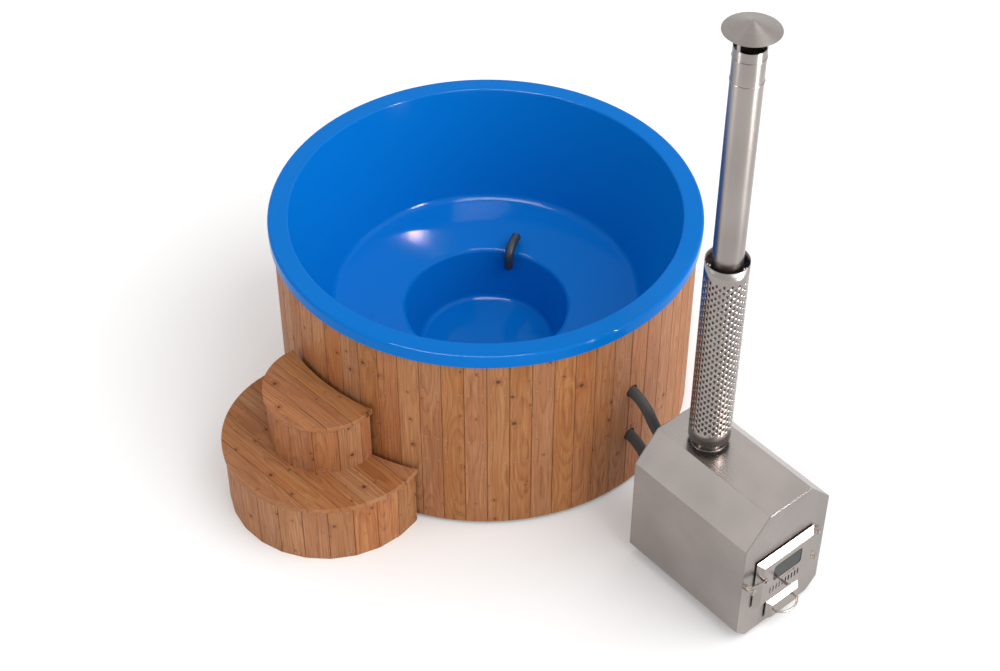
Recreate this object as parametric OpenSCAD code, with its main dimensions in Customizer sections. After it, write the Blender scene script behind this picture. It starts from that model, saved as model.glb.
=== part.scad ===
// Round wooden hot tub with a moulded insert, two steps and an outside wood stove.
// The tub stands on the origin. The stove stands on its -Y side, and the steps on its -X side.

/* [Tub insert] */
// Outer diameter of the rim
tub_d = 2000; // [1800:10:2300]
// Height of the rim's top above the ground
tub_h = 1080; // [1000:10:1200]
// Width of the rim's top, from the lip to the wall
rim_w = 93; // [85:1:120]
// Height of the lip that hangs down outside the boards
lip_h = 60; // [40:1:80]
// Thickness of the moulded shell
shell_t = 6; // [4:0.5:8]
// Diameter of the seat where it meets the wall
seat_d = 1454; // [1350:2:1550]
// Height of the seat where it meets the wall
seat_h = 544; // [520:2:570]
// Drop of the seat from the wall to the footwell
seat_fall = 60; // [40:2:80]
// Diameter of the footwell at its edge
well_d = 780; // [740:2:860]
// Diameter of the footwell's floor
floor_d = 642; // [560:2:700]
// Height of the footwell's floor above the ground
floor_h = 232; // [210:2:260]
// Radius of the rim's outer edge
rim_round = 14; // [6:1:20]
// Radius of the soft corner between the wall and the seat
seat_round = 40; // [20:1:60]
// Radius of the footwell's edge
well_round = 27; // [10:1:40]

/* [Cladding] */
// Number of cladding boards
board_n = 62; // [48:1:76]
// Thickness of a board
board_t = 20; // [16:1:24]
// Gap between neighbouring boards
board_gap = 0.6; // [0.4:0.1:2]
// Width of the chamfer along a board's edges
board_chamfer = 3; // [1:0.5:5]
// Distance from the rim's outer edge in to the boards
board_inset = 20; // [16:1:26]
// Height of the boards' lower ends above the ground
board_lift = 20; // [10:1:28]

/* [Wooden frame] */
// Thickness of the curved rails and the studs, along the radius
rail_w = 35; // [28:1:38]
// Height of a curved rail
rail_h = 60; // [45:1:80]
// Number of studs in each row
stud_n = 12; // [8:1:16]
// Width of a stud
stud_w = 70; // [45:1:95]
// Height of the base bearers
bearer_h = 95; // [90:1:110]
// Width of a base bearer
bearer_w = 70; // [45:1:95]
// Distance between the middles of neighbouring bearers
bearer_pitch = 350; // [250:5:380]
// Thickness of the base plate
base_t = 18; // [12:1:24]
// Width of the two joists under the footwell
joist_w = 45; // [35:1:60]
// Number of props under the seat
prop_n = 8; // [6:2:10]
// Width of a prop
prop_w = 60; // [45:1:75]
// Width of the curved rail under the seat, along the radius
seat_rail_w = 100; // [75:1:130]

/* [Water pipes] */
// Distance of the hoses from the stove's middle, to the right
hose_x = 31; // [0:1:60]
// Outer diameter of a hose
hose_d = 52; // [48:1:56]
// Wall of a hose
hose_wall = 6.5; // [4:0.5:8]
// Height of the upper hose at the tub
upper_hose_h = 615; // [606:1:650]
// Height of the lower hose at the tub
lower_hose_h = 338; // [310:1:370]
// Height of the stove's upper spigot
upper_spigot_h = 460; // [420:1:500]
// Height of the stove's lower spigot
lower_spigot_h = 165; // [150:1:200]
// Distance from the cladding's face in to the start of the hoses' bend
bend_inset = 22; // [5:1:40]
// Outer diameter of the drain pipe
drain_d = 40; // [32:1:45]
// Height of the drain pipe's middle above the ground
drain_h = 55; // [50:1:60]
// Distance of the drain from the tub's middle, on the stove's side
drain_aside = 175; // [160:1:178]
// Length of the drain tap's lever
lever_l = 95; // [70:1:120]

/* [Grab bar] */
// Diameter of the grab bar
grab_d = 46; // [30:1:50]
// Direction of the grab bar from the tub's middle, in degrees from the +X side
grab_angle = 31; // [10:1:80]
// Bend radius of the grab bar
grab_bend = 62; // [55:1:75]

/* [Steps] */
// Direction of the steps from the tub's middle, in degrees from the +X side
step_angle = -175.7; // [-180:0.1:-165]
// Radius of the lower tread
lower_tread_r = 482; // [440:1:540]
// Height of the lower tread's top
lower_tread_h = 344; // [300:1:370]
// Radius of the upper tread
upper_tread_r = 273; // [240:1:310]
// Height of the upper tread's top
upper_tread_h = 640; // [600:1:700]
// Thickness of a tread
tread_t = 25; // [18:1:34]
// Width of a tread plank
plank_w = 105; // [80:1:125]
// Gap between tread planks
plank_gap = 2; // [1:0.5:5]
// Distance that a tread stands out over the side boards
tread_over = 9; // [4:1:20]
// Width of a side board
side_board_w = 115; // [90:1:130]
// Thickness of a side board
side_board_t = 18; // [14:1:22]
// Gap between the cladding's face and the steps
step_gap = 22; // [12:1:30]

/* [Stove] */
// Width of the stove
stove_w = 500; // [480:2:560]
// Length of the stove
stove_l = 672; // [640:2:760]
// Height of the stove's top above the ground
stove_h = 735; // [700:1:800]
// Height of the shoulder where the sloping top begins
shoulder_h = 600; // [580:1:640]
// Width of the flat top
stove_top_w = 250; // [220:1:300]
// Size of the chamfers along the underside
stove_chamfer = 58; // [40:1:70]
// Height of the stove's feet
stove_lift = 20; // [15:1:35]
// Gap between the tub's boards and the stove's back
stove_gap = 320; // [300:1:380]
// Thickness of the stove's steel plate
plate_t = 3; // [2:0.5:5]
// Width of the water space round the firebox
jacket_w = 30; // [22:1:40]
// Thickness of the firebox's steel
firebox_t = 4; // [3:0.5:6]
// Height of the grate above the ground
grate_h = 170; // [164:1:182]

/* [Stove door] */
// Width of the door
door_w = 347; // [330:1:360]
// Height of the door
door_h = 296; // [286:1:310]
// Height of the door's lower edge above the ground
door_z = 184; // [180:1:195]
// Distance of the door's middle to the left of the stove's middle
door_shift = 4.5; // [0:0.5:6]
// Depth of the pressed door
door_depth = 25; // [23:0.5:30]
// Width of the sloping border of the door
door_bevel = 26; // [22:1:30]
// Gap between the stove's front and the door
door_gap = 6; // [5:0.5:8]
// Width of the window
window_w = 172; // [140:1:190]
// Height of the window
window_h = 95; // [80:1:100]
// Height of the window's lower edge above the door's lower edge
window_z = 143; // [142:1:146]
// Corner radius of the window
window_round = 18; // [8:1:25]
// Number of air slots
vent_n = 10; // [6:1:10]
// Distance between neighbouring air slots
vent_pitch = 19; // [16:0.5:20]
// Width of an air slot
vent_w = 8; // [5:0.5:10]
// Height of an air slot
vent_h = 35; // [25:1:40]
// Travel of the air slide
slide_travel = 85; // [60:1:88]
// Length of the air slide's rod in front of the door
rod_l = 50; // [35:1:65]
// Diameter of the hinge pins
hinge_pin_d = 10; // [8:0.5:12]
// Length of the latch bar from its pivot
latch_l = 100; // [95:1:108]
// Angle by which the latch bar stands up above level
latch_angle = 18; // [16:1:24]

/* [Ash drawer] */
// Width of the ash drawer's front
ash_w = 197; // [180:1:210]
// Height of the ash drawer's front
ash_h = 115; // [108:1:124]
// Height of the front's lower edge above the ground
ash_z = 42; // [36:1:46]
// Distance of the drawer's middle to the right of the stove's middle
ash_shift = 17; // [0:1:20]
// Length of the drawer's box
ash_l = 430; // [350:5:480]
// Length of the bow handle between its ends
bow_l = 128; // [100:1:150]
// Distance that the bow handle stands out
bow_rise = 45; // [36:1:55]

/* [Chimney] */
// Outer diameter of the flue
flue_d = 128; // [116:1:140]
// Distance of the flue's axis from the stove's back
flue_y = 184; // [160:1:220]
// Wall of the flue
flue_t = 1.5; // [1:0.25:2.5]
// Height of the joint hidden in the heat guard
joint_h = 1690; // [1500:5:1700]
// Height of the flue's first bead
bead_h = 2615; // [2400:5:2700]
// Height of the top section above the first bead
top_flue_h = 107; // [80:1:150]
// Height of the cap's collar
collar_h = 41; // [35:1:60]
// Diameter of the rain cap
cap_d = 224; // [190:1:260]
// Height of the rain cap's cone
cap_h = 42; // [30:1:60]
// Height of the open gap under the rain cap
cap_gap = 65; // [45:1:90]
// Outer diameter of the heat guard
guard_d = 183; // [172:1:200]
// Height of the heat guard's lower edge above the stove
guard_gap = 34; // [20:1:60]
// Length of the heat guard
guard_l = 979; // [850:1:1050]
// Number of columns of holes in the heat guard
guard_n = 36; // [24:2:40]
// Number of holes in a column
guard_rows = 26; // [18:1:28]
// Diameter of a hole in the heat guard
guard_hole_d = 9.2; // [6:0.2:9.6]
// Height of the plain band at each end of the heat guard
guard_band = 76; // [60:1:100]

/* [Hidden] */

// Fits and general values
fit = 0.3;
pin_fit = 0.06;
over = 1;
round_fn = 64;
corner_steps = 6;

// Tub
rim_r = tub_d / 2;
wall_top_r = rim_r - rim_w;
wall_round = 10;
floor_round = 30;
seat_edge_z = seat_h - seat_fall;
wall_slope = atan((wall_top_r - seat_d / 2) / (tub_h - seat_h));
well_slope = atan((well_d - floor_d) / 2 / (seat_edge_z - floor_h));
seat_slope = atan(seat_fall / (seat_d / 2 - well_d / 2));
board_r = rim_r - board_inset;
board_pitch = 360 / board_n;
board_face_r = board_r * cos(board_pitch / 2);
board_back_r = board_face_r - board_t;
board_seam = -129.8;
nest_r = board_back_r - fit;

// Wooden frame, from the ground up
base_z = bearer_h + base_t;
lower_rail_z = base_z;
upper_rail_z = tub_h - shell_t - rail_h;
rail_hole_gap = 9;
rail_r = nest_r - rail_w;
stud_turn = 15;
stud_t = sqrt(nest_r * nest_r - stud_w * stud_w / 4) - rail_r;
prop_r = (well_d + seat_d) / 4;
seat_under = seat_edge_z - (shell_t + fit) / cos(seat_slope);
seat_rail_z = seat_under + (prop_r - seat_rail_w / 2 - well_d / 2) * tan(seat_slope) - rail_h / 2;
joist_share = 0.17;
joist_x = floor_d * joist_share;
joist_l = floor_d - 4 * floor_round;

// Water
hose_r = hose_d / 2;
barrel_r = 23;
flange_r = 35;
flange_t = 5;
nut_r = 34;
nut_t = 12;
nut_sides = 8;
grille_r = 29;
grille_t = 6;
slot_w = 6;
slot_n = 5;
slot_pitch = 9.6;
hose_hole_gap = 6;
hose_hole_r = hose_r + hose_hole_gap;
middle_rail_z = upper_hose_h - hose_hole_r - rail_hole_gap - rail_h;
barrel_l = 2 * nut_t + 3 * shell_t;
hose_in_gap = 4;
hose_lap = 45;
spigot_short = 8;
hose_sides = 16;
hose_steps = 10;
spigot_r = (hose_r - hose_wall) * cos(180 / hose_sides) - fit / 2;
clamp_w = 14;
clamp_t = 1.5;
clamp_screw_r = 5;
clamp_screw_l = 26;
upper_wall_r = seat_d / 2 + (upper_hose_h - seat_h) * tan(wall_slope);
lower_wall_r = floor_d / 2 + (lower_hose_h - floor_h) * tan(well_slope);
bend_y = board_r - bend_inset;
upper_hose_y = upper_wall_r + barrel_l + hose_in_gap;
lower_hose_y = lower_wall_r + barrel_l + hose_in_gap;
stove_back_y = board_r + stove_gap;
spigot_l = hose_lap - spigot_short;
hose_end_y = stove_back_y - fit;
bend_end_y = hose_end_y - spigot_l;

// Drain
drain_r = drain_d / 2;
drain_hole_gap = 3;
drain_wall = 3;
drain_y = -drain_aside;
drain_bend_r = 34;
grate_flange_r = 45;
drain_flange_t = 4;
grate_recess = 2.5;
tap_r = 29;
tap_l = 62;
tap_gap = 8;
tap_x = board_r + tap_gap;
ball_r = 21;
ball_bore_r = 13;
stem_r = 6;
stem_boss_t = 5;
stem_top = 14;
lever_w = 18;
lever_t = 5;
outlet_r = 16.5;
outlet_l = 24;

// Grab bar
grab_r = grab_d / 2;
grab_wall_gap = 12;
grab_stand = 28;
grab_top_l = 64;
grab_foot_r = 11;
grab_end_round = 7;
grab_reach_share = 0.72;
grab_x = well_d / 2 - grab_r - grab_wall_gap - well_round * grab_reach_share;

// Steps
step_back_r = board_r + step_gap;
step_set = 38;
step_centre = board_r + step_set;
rib_t = 18;
step_post_w = 45;
step_post_angles = [-60, 0, 60];

// Stove
stove_y = stove_back_y + stove_l;
flue_axis_y = stove_back_y + flue_y;
outline = [
    [-stove_w / 2 + stove_chamfer, stove_lift], [stove_w / 2 - stove_chamfer, stove_lift],
    [stove_w / 2, stove_lift + stove_chamfer], [stove_w / 2, shoulder_h],
    [stove_top_w / 2, stove_h], [-stove_top_w / 2, stove_h],
    [-stove_w / 2, shoulder_h], [-stove_w / 2, stove_lift + stove_chamfer]];
firebox_z = stove_lift + jacket_w + firebox_t;
firebox_half_w = stove_w / 2 - jacket_w - firebox_t;
ledge_w = 24;
ledge_t = 6;
grate_t = 18;
grate_bar_n = 11;
grate_bar_w = 12;
foot_r = 22;
foot_inset = stove_chamfer + 1.5 * foot_r;
spigot_wall = 2.5;
spigot_flange_r = 30;
spigot_flange_t = 3;

// Door, drawn with its own X across and its own Z up
door_y = stove_y + door_gap;
face_y = door_y + door_depth;
sheet_t = 2.5;
liner_t = 2.5;
glass_t = 4;
glass_lap = 6;
glass_frame_t = 5;
glass_frame_w = 14;
door_open_inset = 34;
gasket_w = 12;
gasket_inset = 18;
vent_rise = 72;
vent_shift = 10;
guide_rise = 127;
rod_r = 5;
rod_knob_r = 7;
rod_knob_l = 22;
rod_x = -40;
slide_t = 2;
slide_drop = 12;
slide_l = vent_n * vent_pitch / 2 + 2 * rod_r;
slide_cover = 4;
slide_top = rod_r + slide_cover;
rail_t = 2;
rail_lip = 7;
hinge_pin_r = hinge_pin_d / 2;
hinge_beside = 19;
hinge_before = 14;
hinge_x = door_w / 2 - door_shift + hinge_beside;
hinge_y = door_y + hinge_before;
hinge_shares = [0.3, 0.86];
lug_t = 8;
lug_wall = 5;
lug_r = hinge_pin_r + lug_wall;
lug_root = 34;
pin_head_over = 3;
pin_head_r = hinge_pin_r + pin_head_over;
pin_head_t = 4;
latch_rise = 184;
latch_beside = 13;
latch_z = door_z + latch_rise;
latch_x = -door_w / 2 - door_shift + door_bevel + latch_beside;
latch_bolt_r = 5;
latch_w = 16;
latch_boss_over = 3;
latch_t = 6;
latch_washer_t = 2;
latch_head_r = 9;
latch_head_t = 5;
catch_w = 23;
catch_t = 8;
catch_lip_t = 5;
catch_clear = 3;

// Ash drawer
ash_t = 2;
ash_bevel = 20;
ash_depth = 22;
ash_box_short = 30;
ash_box_gap = 2;
ash_box_w = ash_w - ash_box_short;
ash_box_h = 84;
bow_r = 5;
bow_foot_l = 14;
bow_z = ash_z + ash_h / 2;

// Chimney
flue_r = flue_d / 2;
flue_lap = 45;
bead_r = 2.5;
collar_flange_w = 18;
collar_flange_r = flue_r + collar_flange_w;
collar_flange_t = 4;
top_bead_h = bead_h + top_flue_h;
flue_top = top_bead_h + collar_h;
cap_z = flue_top + cap_gap;
stay_n = 3;
stay_w = 16;
stay_t = 2;
stay_turn = 60;
stay_lap = 24;
guard_r = guard_d / 2;
guard_t = 1.5;
guard_z = stove_h + guard_gap;
guard_side = 2 * guard_r * sin(180 / guard_n);
guard_flat_r = guard_r * cos(180 / guard_n);
guard_seam = 0.4;
spacer_n = 3;
spacer_h = 22;
spacer_t = 2;

wood = "#a56f4a";
frame_wood = "#c9a77c";
gelcoat = "#0a63c8";
steel = "#b9b3ac";
rubber = "#3a3d42";

// Outlines with rounded corners and even thickness
function unit(v) = v / norm(v);
function left(v) = [-v[1], v[0]];
function mitre(a, b, c, t) = let (d = unit(unit(b - a) + unit(c - b))) b + left(d) * t / (d * unit(c - b));
function before(path, i) = i > 0 ? path[i - 1] : 2 * path[0] - path[1];
function after(path, i) = i < len(path) - 1 ? path[i + 1] : 2 * path[i] - path[i - 1];
function beside(path, t) = [for (i = [0 : len(path) - 1]) mitre(before(path, i), path[i], after(path, i), t)];
function inset(loop, t) = let (n = len(loop))
    [for (i = [0 : n - 1]) mitre(loop[(i + n - 1) % n], loop[i], loop[(i + 1) % n], t)];
function reversed(path) = [for (i = [len(path) - 1 : -1 : 0]) path[i]];
function corner(a, b, c, r) =
    let (u = unit(a - b), v = unit(c - b), half = acos(u * v) / 2, m = b + unit(u + v) * r / sin(half),
        p = b + u * r / tan(half) - m, q = b + v * r / tan(half) - m,
        start = atan2(p[1], p[0]), turn = atan2(p[0] * q[1] - p[1] * q[0], p * q))
    [for (i = [0 : corner_steps]) let (a = start + turn * i / corner_steps) m + r * [cos(a), sin(a)]];

// The moulded insert's face, from the lip's lower edge over the rim and down to the middle of the floor
lip_foot = [rim_r, tub_h - lip_h];
rim_outer = [rim_r, tub_h];
rim_inner = [wall_top_r, tub_h];
seat_corner = [seat_d / 2, seat_h];
well_corner = [well_d / 2, seat_edge_z];
floor_corner = [floor_d / 2, floor_h];
floor_middle = [0, floor_h];
shell_face = concat(
    [lip_foot],
    corner(lip_foot, rim_outer, rim_inner, rim_round),
    corner(rim_outer, rim_inner, seat_corner, wall_round),
    corner(rim_inner, seat_corner, well_corner, seat_round),
    corner(seat_corner, well_corner, floor_corner, well_round),
    corner(well_corner, floor_corner, floor_middle, floor_round),
    [floor_middle]);

module ring(outer, inner, height) {
    rotate_extrude($fn = 2 * round_fn) translate([inner, 0]) square([outer - inner, height]);
}

module tube(outer, inner, length) {
    rotate_extrude($fn = round_fn) translate([inner, 0]) square([outer - inner, length]);
}

module forward(y) {
    translate([0, -y, 0]) rotate([90, 0, 0]) children();
}

module rounded_box(w, h, r) {
    translate([r, 0]) square([w - 2 * r, h]);
    translate([0, r]) square([w, h - 2 * r]);
    for (x = [r, w - r], y = [r, h - r]) translate([x, y]) circle(r = r, $fn = round_fn);
}

// Tub insert
module hose_bores(r) {
    for (z = [upper_hose_h, lower_hose_h]) translate([hose_x, 0, z]) rotate([90, 0, 0])
        cylinder(h = rim_r + over, r = r, $fn = round_fn);
}

module tub_shell() {
    color(gelcoat) difference() {
        rotate_extrude($fn = 2 * round_fn) polygon(concat(shell_face, reversed(beside(shell_face, shell_t))));
        hose_bores(barrel_r + fit);
        translate([0, drain_y, floor_h - 2 * shell_t])
            cylinder(h = 3 * shell_t, r = drain_r + fit, $fn = round_fn);
    }
}

// Cladding: one flat board with chamfered edges, standing on a circle
module stave(r, pitch, t, height) {
    face = r * cos(pitch / 2);
    half = face * tan(pitch / 2) - board_gap / 2;
    back_half = (face - t) * tan(pitch / 2) - board_gap / 2;
    mid_half = (face - board_chamfer) * tan(pitch / 2) - board_gap / 2;
    linear_extrude(height) polygon([
        [face - t, -back_half], [face - board_chamfer, -mid_half], [face, -half + board_chamfer],
        [face, half - board_chamfer], [face - board_chamfer, mid_half], [face - t, back_half]]);
}

module cladding_boards() {
    color(wood) difference() {
        for (i = [0 : board_n - 1]) rotate(board_seam + (i + 0.5) * board_pitch) translate([0, 0, board_lift])
            stave(board_r, board_pitch, board_t, tub_h - lip_h / 3 - board_lift);
        hose_bores(hose_hole_r);
        translate([0, drain_y, drain_h]) rotate([0, 90, 0])
            cylinder(h = rim_r, r = drain_r + drain_hole_gap, $fn = round_fn);
    }
}

// Wooden frame
module rail(z) {
    color(frame_wood) translate([0, 0, z]) ring(nest_r, rail_r, rail_h);
}

module studs(from, to) {
    color(frame_wood) for (i = [0 : stud_n - 1]) rotate(stud_turn + i * 360 / stud_n)
        translate([rail_r, -stud_w / 2, from]) cube([stud_t, stud_w, to - from]);
}

module top_rail() rail(upper_rail_z);
module middle_rail() rail(middle_rail_z);
module bottom_rail() rail(lower_rail_z);
module upper_studs() studs(middle_rail_z + rail_h, upper_rail_z);
module lower_studs() studs(lower_rail_z + rail_h, middle_rail_z);

module base_bearers() {
    color(frame_wood) for (i = [-2 : 2]) {
        half_l = sqrt(pow(nest_r, 2) - pow(abs(i) * bearer_pitch + bearer_w / 2, 2));
        translate([-half_l, i * bearer_pitch - bearer_w / 2, 0]) cube([2 * half_l, bearer_w, bearer_h]);
    }
}

module base_plate() {
    color(frame_wood) translate([0, 0, bearer_h]) difference() {
        cylinder(h = base_t, r = nest_r, $fn = 2 * round_fn);
        translate([0, drain_y, -over])
            cylinder(h = base_t + 2 * over, r = drain_r + joist_w / 4, $fn = round_fn);
    }
}

module floor_joists() {
    color(frame_wood) for (x = [-joist_x, joist_x]) translate([x - joist_w / 2, -joist_l / 2, base_z])
        cube([joist_w, joist_l, floor_h - shell_t - base_z]);
}

module seat_rail() {
    inner = prop_r - seat_rail_w / 2;
    outer = prop_r + seat_rail_w / 2;
    color(frame_wood) rotate_extrude($fn = 2 * round_fn) polygon([
        [inner, seat_rail_z], [outer, seat_rail_z],
        [outer, seat_under + (outer - well_d / 2) * tan(seat_slope)],
        [inner, seat_under + (inner - well_d / 2) * tan(seat_slope)]]);
}

module seat_props() {
    color(frame_wood) for (i = [0 : prop_n - 1]) rotate((i + 0.5) * 360 / prop_n)
        translate([prop_r - prop_w / 2, -prop_w / 2, base_z]) cube([prop_w, prop_w, seat_rail_z - base_z]);
}

// Grab bar: a bent round bar over the footwell's edge, on two short feet
grab_low = seat_edge_z - 2 * well_round;
grab_turn_z = seat_edge_z + grab_stand + grab_r - grab_bend;

module bar_end(length) {
    rotate_extrude($fn = round_fn) {
        square([grab_r, length - grab_end_round]);
        square([grab_r - grab_end_round, length]);
        translate([grab_r - grab_end_round, length - grab_end_round]) intersection() {
            circle(r = grab_end_round);
            square(grab_end_round);
        }
    }
}

module grab_bar() {
    color(rubber) rotate(grab_angle) {
        translate([grab_x, 0, grab_turn_z]) rotate([180, 0, 0]) bar_end(grab_turn_z - grab_low);
        translate([grab_x + grab_bend, 0, grab_turn_z]) rotate([90, 0, 180])
            rotate_extrude(angle = 90, $fn = round_fn) translate([grab_bend, 0])
                circle(r = grab_r, $fn = round_fn);
        translate([grab_x + grab_bend, 0, grab_turn_z + grab_bend]) rotate([0, 90, 0]) bar_end(grab_top_l);
    }
}

module grab_bar_feet() {
    seat_x = grab_x + grab_bend + grab_top_l / 2;
    seat_z = seat_edge_z + (seat_x + grab_foot_r - well_d / 2) * tan(seat_slope) + fit;
    wall_z = (grab_low + grab_turn_z) / 2;
    wall_x = floor_d / 2 + (wall_z - grab_foot_r - floor_h) * tan(well_slope) - fit;
    color(steel) rotate(grab_angle) difference() {
        union() {
            translate([seat_x, 0, seat_z])
                cylinder(h = grab_turn_z + grab_bend - seat_z, r = grab_foot_r, $fn = round_fn);
            translate([grab_x, 0, wall_z]) rotate([0, 90, 0])
                cylinder(h = wall_x - grab_x - over, r = grab_foot_r, $fn = round_fn);
        }
        translate([grab_x, 0, grab_low]) cylinder(h = grab_turn_z - grab_low, r = grab_r, $fn = round_fn);
        translate([grab_x + grab_bend, 0, grab_turn_z + grab_bend]) rotate([0, 90, 0])
            cylinder(h = grab_top_l, r = grab_r, $fn = round_fn);
    }
}

// Wall fittings: a flange on the sloping wall, a barrel through it and a spigot for the hose
module on_wall(z, r, slope) {
    translate([hose_x, -sqrt(r * r - hose_x * hose_x), z])
        rotate([0, 0, asin(hose_x / r)]) rotate([slope, 0, 0]) children();
}

module wall_fitting(z, r, slope) {
    lift = flange_r * flange_r / 2 / r + fit;
    color(rubber) difference() {
        union() {
            on_wall(z, r, slope) translate([0, lift, 0]) rotate([-90, 0, 0])
                cylinder(h = flange_t, r = flange_r, $fn = round_fn);
            difference() {
                translate([hose_x, barrel_r - r, z]) rotate([90, 0, 0])
                    cylinder(h = barrel_r + barrel_l, r = barrel_r, $fn = round_fn);
                on_wall(z, r, slope) translate([-2 * flange_r, lift + flange_t / 2, -2 * flange_r])
                    cube(4 * flange_r);
            }
            translate([hose_x, -r, z]) rotate([90, 0, 0])
                cylinder(h = barrel_l + hose_in_gap + hose_lap, r = spigot_r, $fn = round_fn);
        }
        translate([hose_x, -r + 4 * flange_t, z]) rotate([90, 0, 0])
            cylinder(h = 4 * flange_t + barrel_l + 2 * hose_lap, r = spigot_r - spigot_wall, $fn = round_fn);
    }
}

module upper_wall_fitting() wall_fitting(upper_hose_h, upper_wall_r, wall_slope);
module lower_wall_fitting() wall_fitting(lower_hose_h, lower_wall_r, well_slope);

module fitting_nut(z, r, slope) {
    difference() {
        on_wall(z, r, slope) translate([0, -shell_t - fit, 0]) rotate([90, 0, 0])
            cylinder(h = nut_t, r = nut_r, $fn = nut_sides);
        translate([hose_x, 0, z]) rotate([90, 0, 0]) cylinder(h = rim_r, r = barrel_r + fit, $fn = round_fn);
    }
}

module fitting_nuts() {
    color(rubber) {
        fitting_nut(upper_hose_h, upper_wall_r, wall_slope);
        fitting_nut(lower_hose_h, lower_wall_r, well_slope);
    }
}

module grille(z, r, slope) {
    lift = flange_r * flange_r / 2 / r + 2 * fit + flange_t;
    on_wall(z, r, slope) translate([0, lift, 0]) rotate([-90, 0, 0]) difference() {
        cylinder(h = grille_t, r = grille_r, $fn = round_fn);
        for (i = [0 : slot_n - 1])
            translate([(i - (slot_n - 1) / 2) * slot_pitch - slot_w / 2, -grille_r / 2, -over])
                cube([slot_w, grille_r, grille_t + 2 * over]);
    }
}

module fitting_grilles() {
    color(rubber) {
        grille(upper_hose_h, upper_wall_r, wall_slope);
        grille(lower_hose_h, lower_wall_r, well_slope);
    }
}

// Hoses: level out of the tub, an S bend down and level on to the stove's spigot, as places [y, z, slope]
function hose_route(start_y, z_tub, z_stove) =
    let (run = bend_end_y - bend_y, angle = 2 * atan((z_tub - z_stove) / run), bend_r = run / 2 / sin(angle))
    concat(
        [[start_y, z_tub, 0]],
        [for (i = [0 : hose_steps]) let (a = angle * i / hose_steps)
            [bend_y + bend_r * sin(a), z_tub - bend_r * (1 - cos(a)), a]],
        [for (i = [hose_steps - 1 : -1 : 0]) let (a = angle * i / hose_steps)
            [bend_end_y - bend_r * sin(a), z_stove + bend_r * (1 - cos(a)), a]],
        [[hose_end_y, z_stove, 0]]);
function hose_ring(place, r) = [for (k = [0 : hose_sides - 1]) let (a = 360 * k / hose_sides)
    [hose_x + r * cos(a), -place[0] - r * sin(a) * sin(place[2]), place[1] + r * sin(a) * cos(place[2])]];
function band(from, to, flip) = [for (k = [0 : hose_sides - 1], half = [0, 1])
    let (next = (k + 1) % hose_sides,
         face = half == 0 ? [from + k, from + next, to + next] : [from + k, to + next, to + k])
    flip ? [face[2], face[1], face[0]] : face];

module hose(start_y, z_tub, z_stove) {
    route = hose_route(start_y, z_tub, z_stove);
    rings = len(route);
    bore = rings * hose_sides;
    points = concat(
        [for (place = route) each hose_ring(place, hose_r)],
        [for (place = route) each hose_ring(place, hose_r - hose_wall)]);
    color(rubber) polyhedron(points, concat(
        [for (i = [0 : rings - 2]) each band(i * hose_sides, (i + 1) * hose_sides, false)],
        [for (i = [0 : rings - 2]) each band(bore + i * hose_sides, bore + (i + 1) * hose_sides, true)],
        band(0, bore, true),
        band((rings - 1) * hose_sides, bore + (rings - 1) * hose_sides, false)));
}

module upper_hose() hose(upper_hose_y, upper_hose_h, upper_spigot_h);
module lower_hose() hose(lower_hose_y, lower_hose_h, lower_spigot_h);

module clamp(y, z) {
    translate([hose_x, 0, z]) forward(y) {
        tube(hose_r + fit + clamp_t, hose_r + fit, clamp_w);
        translate([-clamp_screw_l / 2, hose_r + clamp_t + clamp_screw_r, clamp_w / 2]) rotate([0, 90, 0])
            cylinder(h = clamp_screw_l, r = clamp_screw_r, $fn = round_fn);
    }
}

module hose_clamps() {
    color(steel) {
        clamp(upper_hose_y + clamp_w, upper_hose_h);
        clamp(lower_hose_y + clamp_w, lower_hose_h);
        for (z = [upper_spigot_h, lower_spigot_h]) clamp(bend_end_y + clamp_w / 2, z);
    }
}

// Drain: a grate in the floor, a bent pipe under the base plate and a ball tap behind the boards
module drain_grate() {
    color(steel) translate([0, drain_y, floor_h + fit]) difference() {
        cylinder(h = drain_flange_t, r1 = grate_flange_r, r2 = grate_flange_r - grate_recess, $fn = round_fn);
        for (i = [0 : slot_n]) rotate(i * 360 / (slot_n + 1)) translate([drain_r / 3, -slot_w / 4, -over])
            cube([drain_r / 2, slot_w / 2, drain_flange_t + 2 * over]);
    }
}

module drain_pipe() {
    top = floor_h - fit;
    turn_z = drain_h + drain_bend_r;
    color(rubber) {
        translate([0, drain_y, turn_z]) tube(drain_r, drain_r - drain_wall, top - turn_z);
        translate([drain_bend_r, drain_y, turn_z]) rotate([90, 0, 180])
            rotate_extrude(angle = -90, $fn = round_fn) translate([drain_bend_r, 0]) difference() {
                circle(r = drain_r);
                circle(r = drain_r - drain_wall);
            }
        translate([drain_bend_r, drain_y, drain_h]) rotate([0, 90, 0])
            tube(drain_r, drain_r - drain_wall, tap_x - drain_bend_r);
    }
}

module drain_tap() {
    ball_x = tap_l / 2;
    color("#b08d57") translate([tap_x, drain_y, drain_h]) difference() {
        union() {
            rotate([0, 90, 0]) cylinder(h = tap_l, r = tap_r, $fn = round_fn);
            translate([tap_l, 0, 0]) rotate([0, 90, 0]) cylinder(h = outlet_l, r = outlet_r, $fn = round_fn);
            translate([ball_x, 0, 0])
                cylinder(h = tap_r + stem_top / 2, r = stem_r + stem_boss_t, $fn = round_fn);
        }
        translate([-over, 0, 0]) rotate([0, 90, 0])
            cylinder(h = tap_l + outlet_l + 2 * over, r = ball_bore_r, $fn = round_fn);
        translate([ball_x, 0, 0]) sphere(r = ball_r + fit, $fn = round_fn);
        translate([ball_x, 0, 0]) cylinder(h = tap_r + stem_top, r = stem_r + pin_fit, $fn = round_fn);
    }
}

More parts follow.
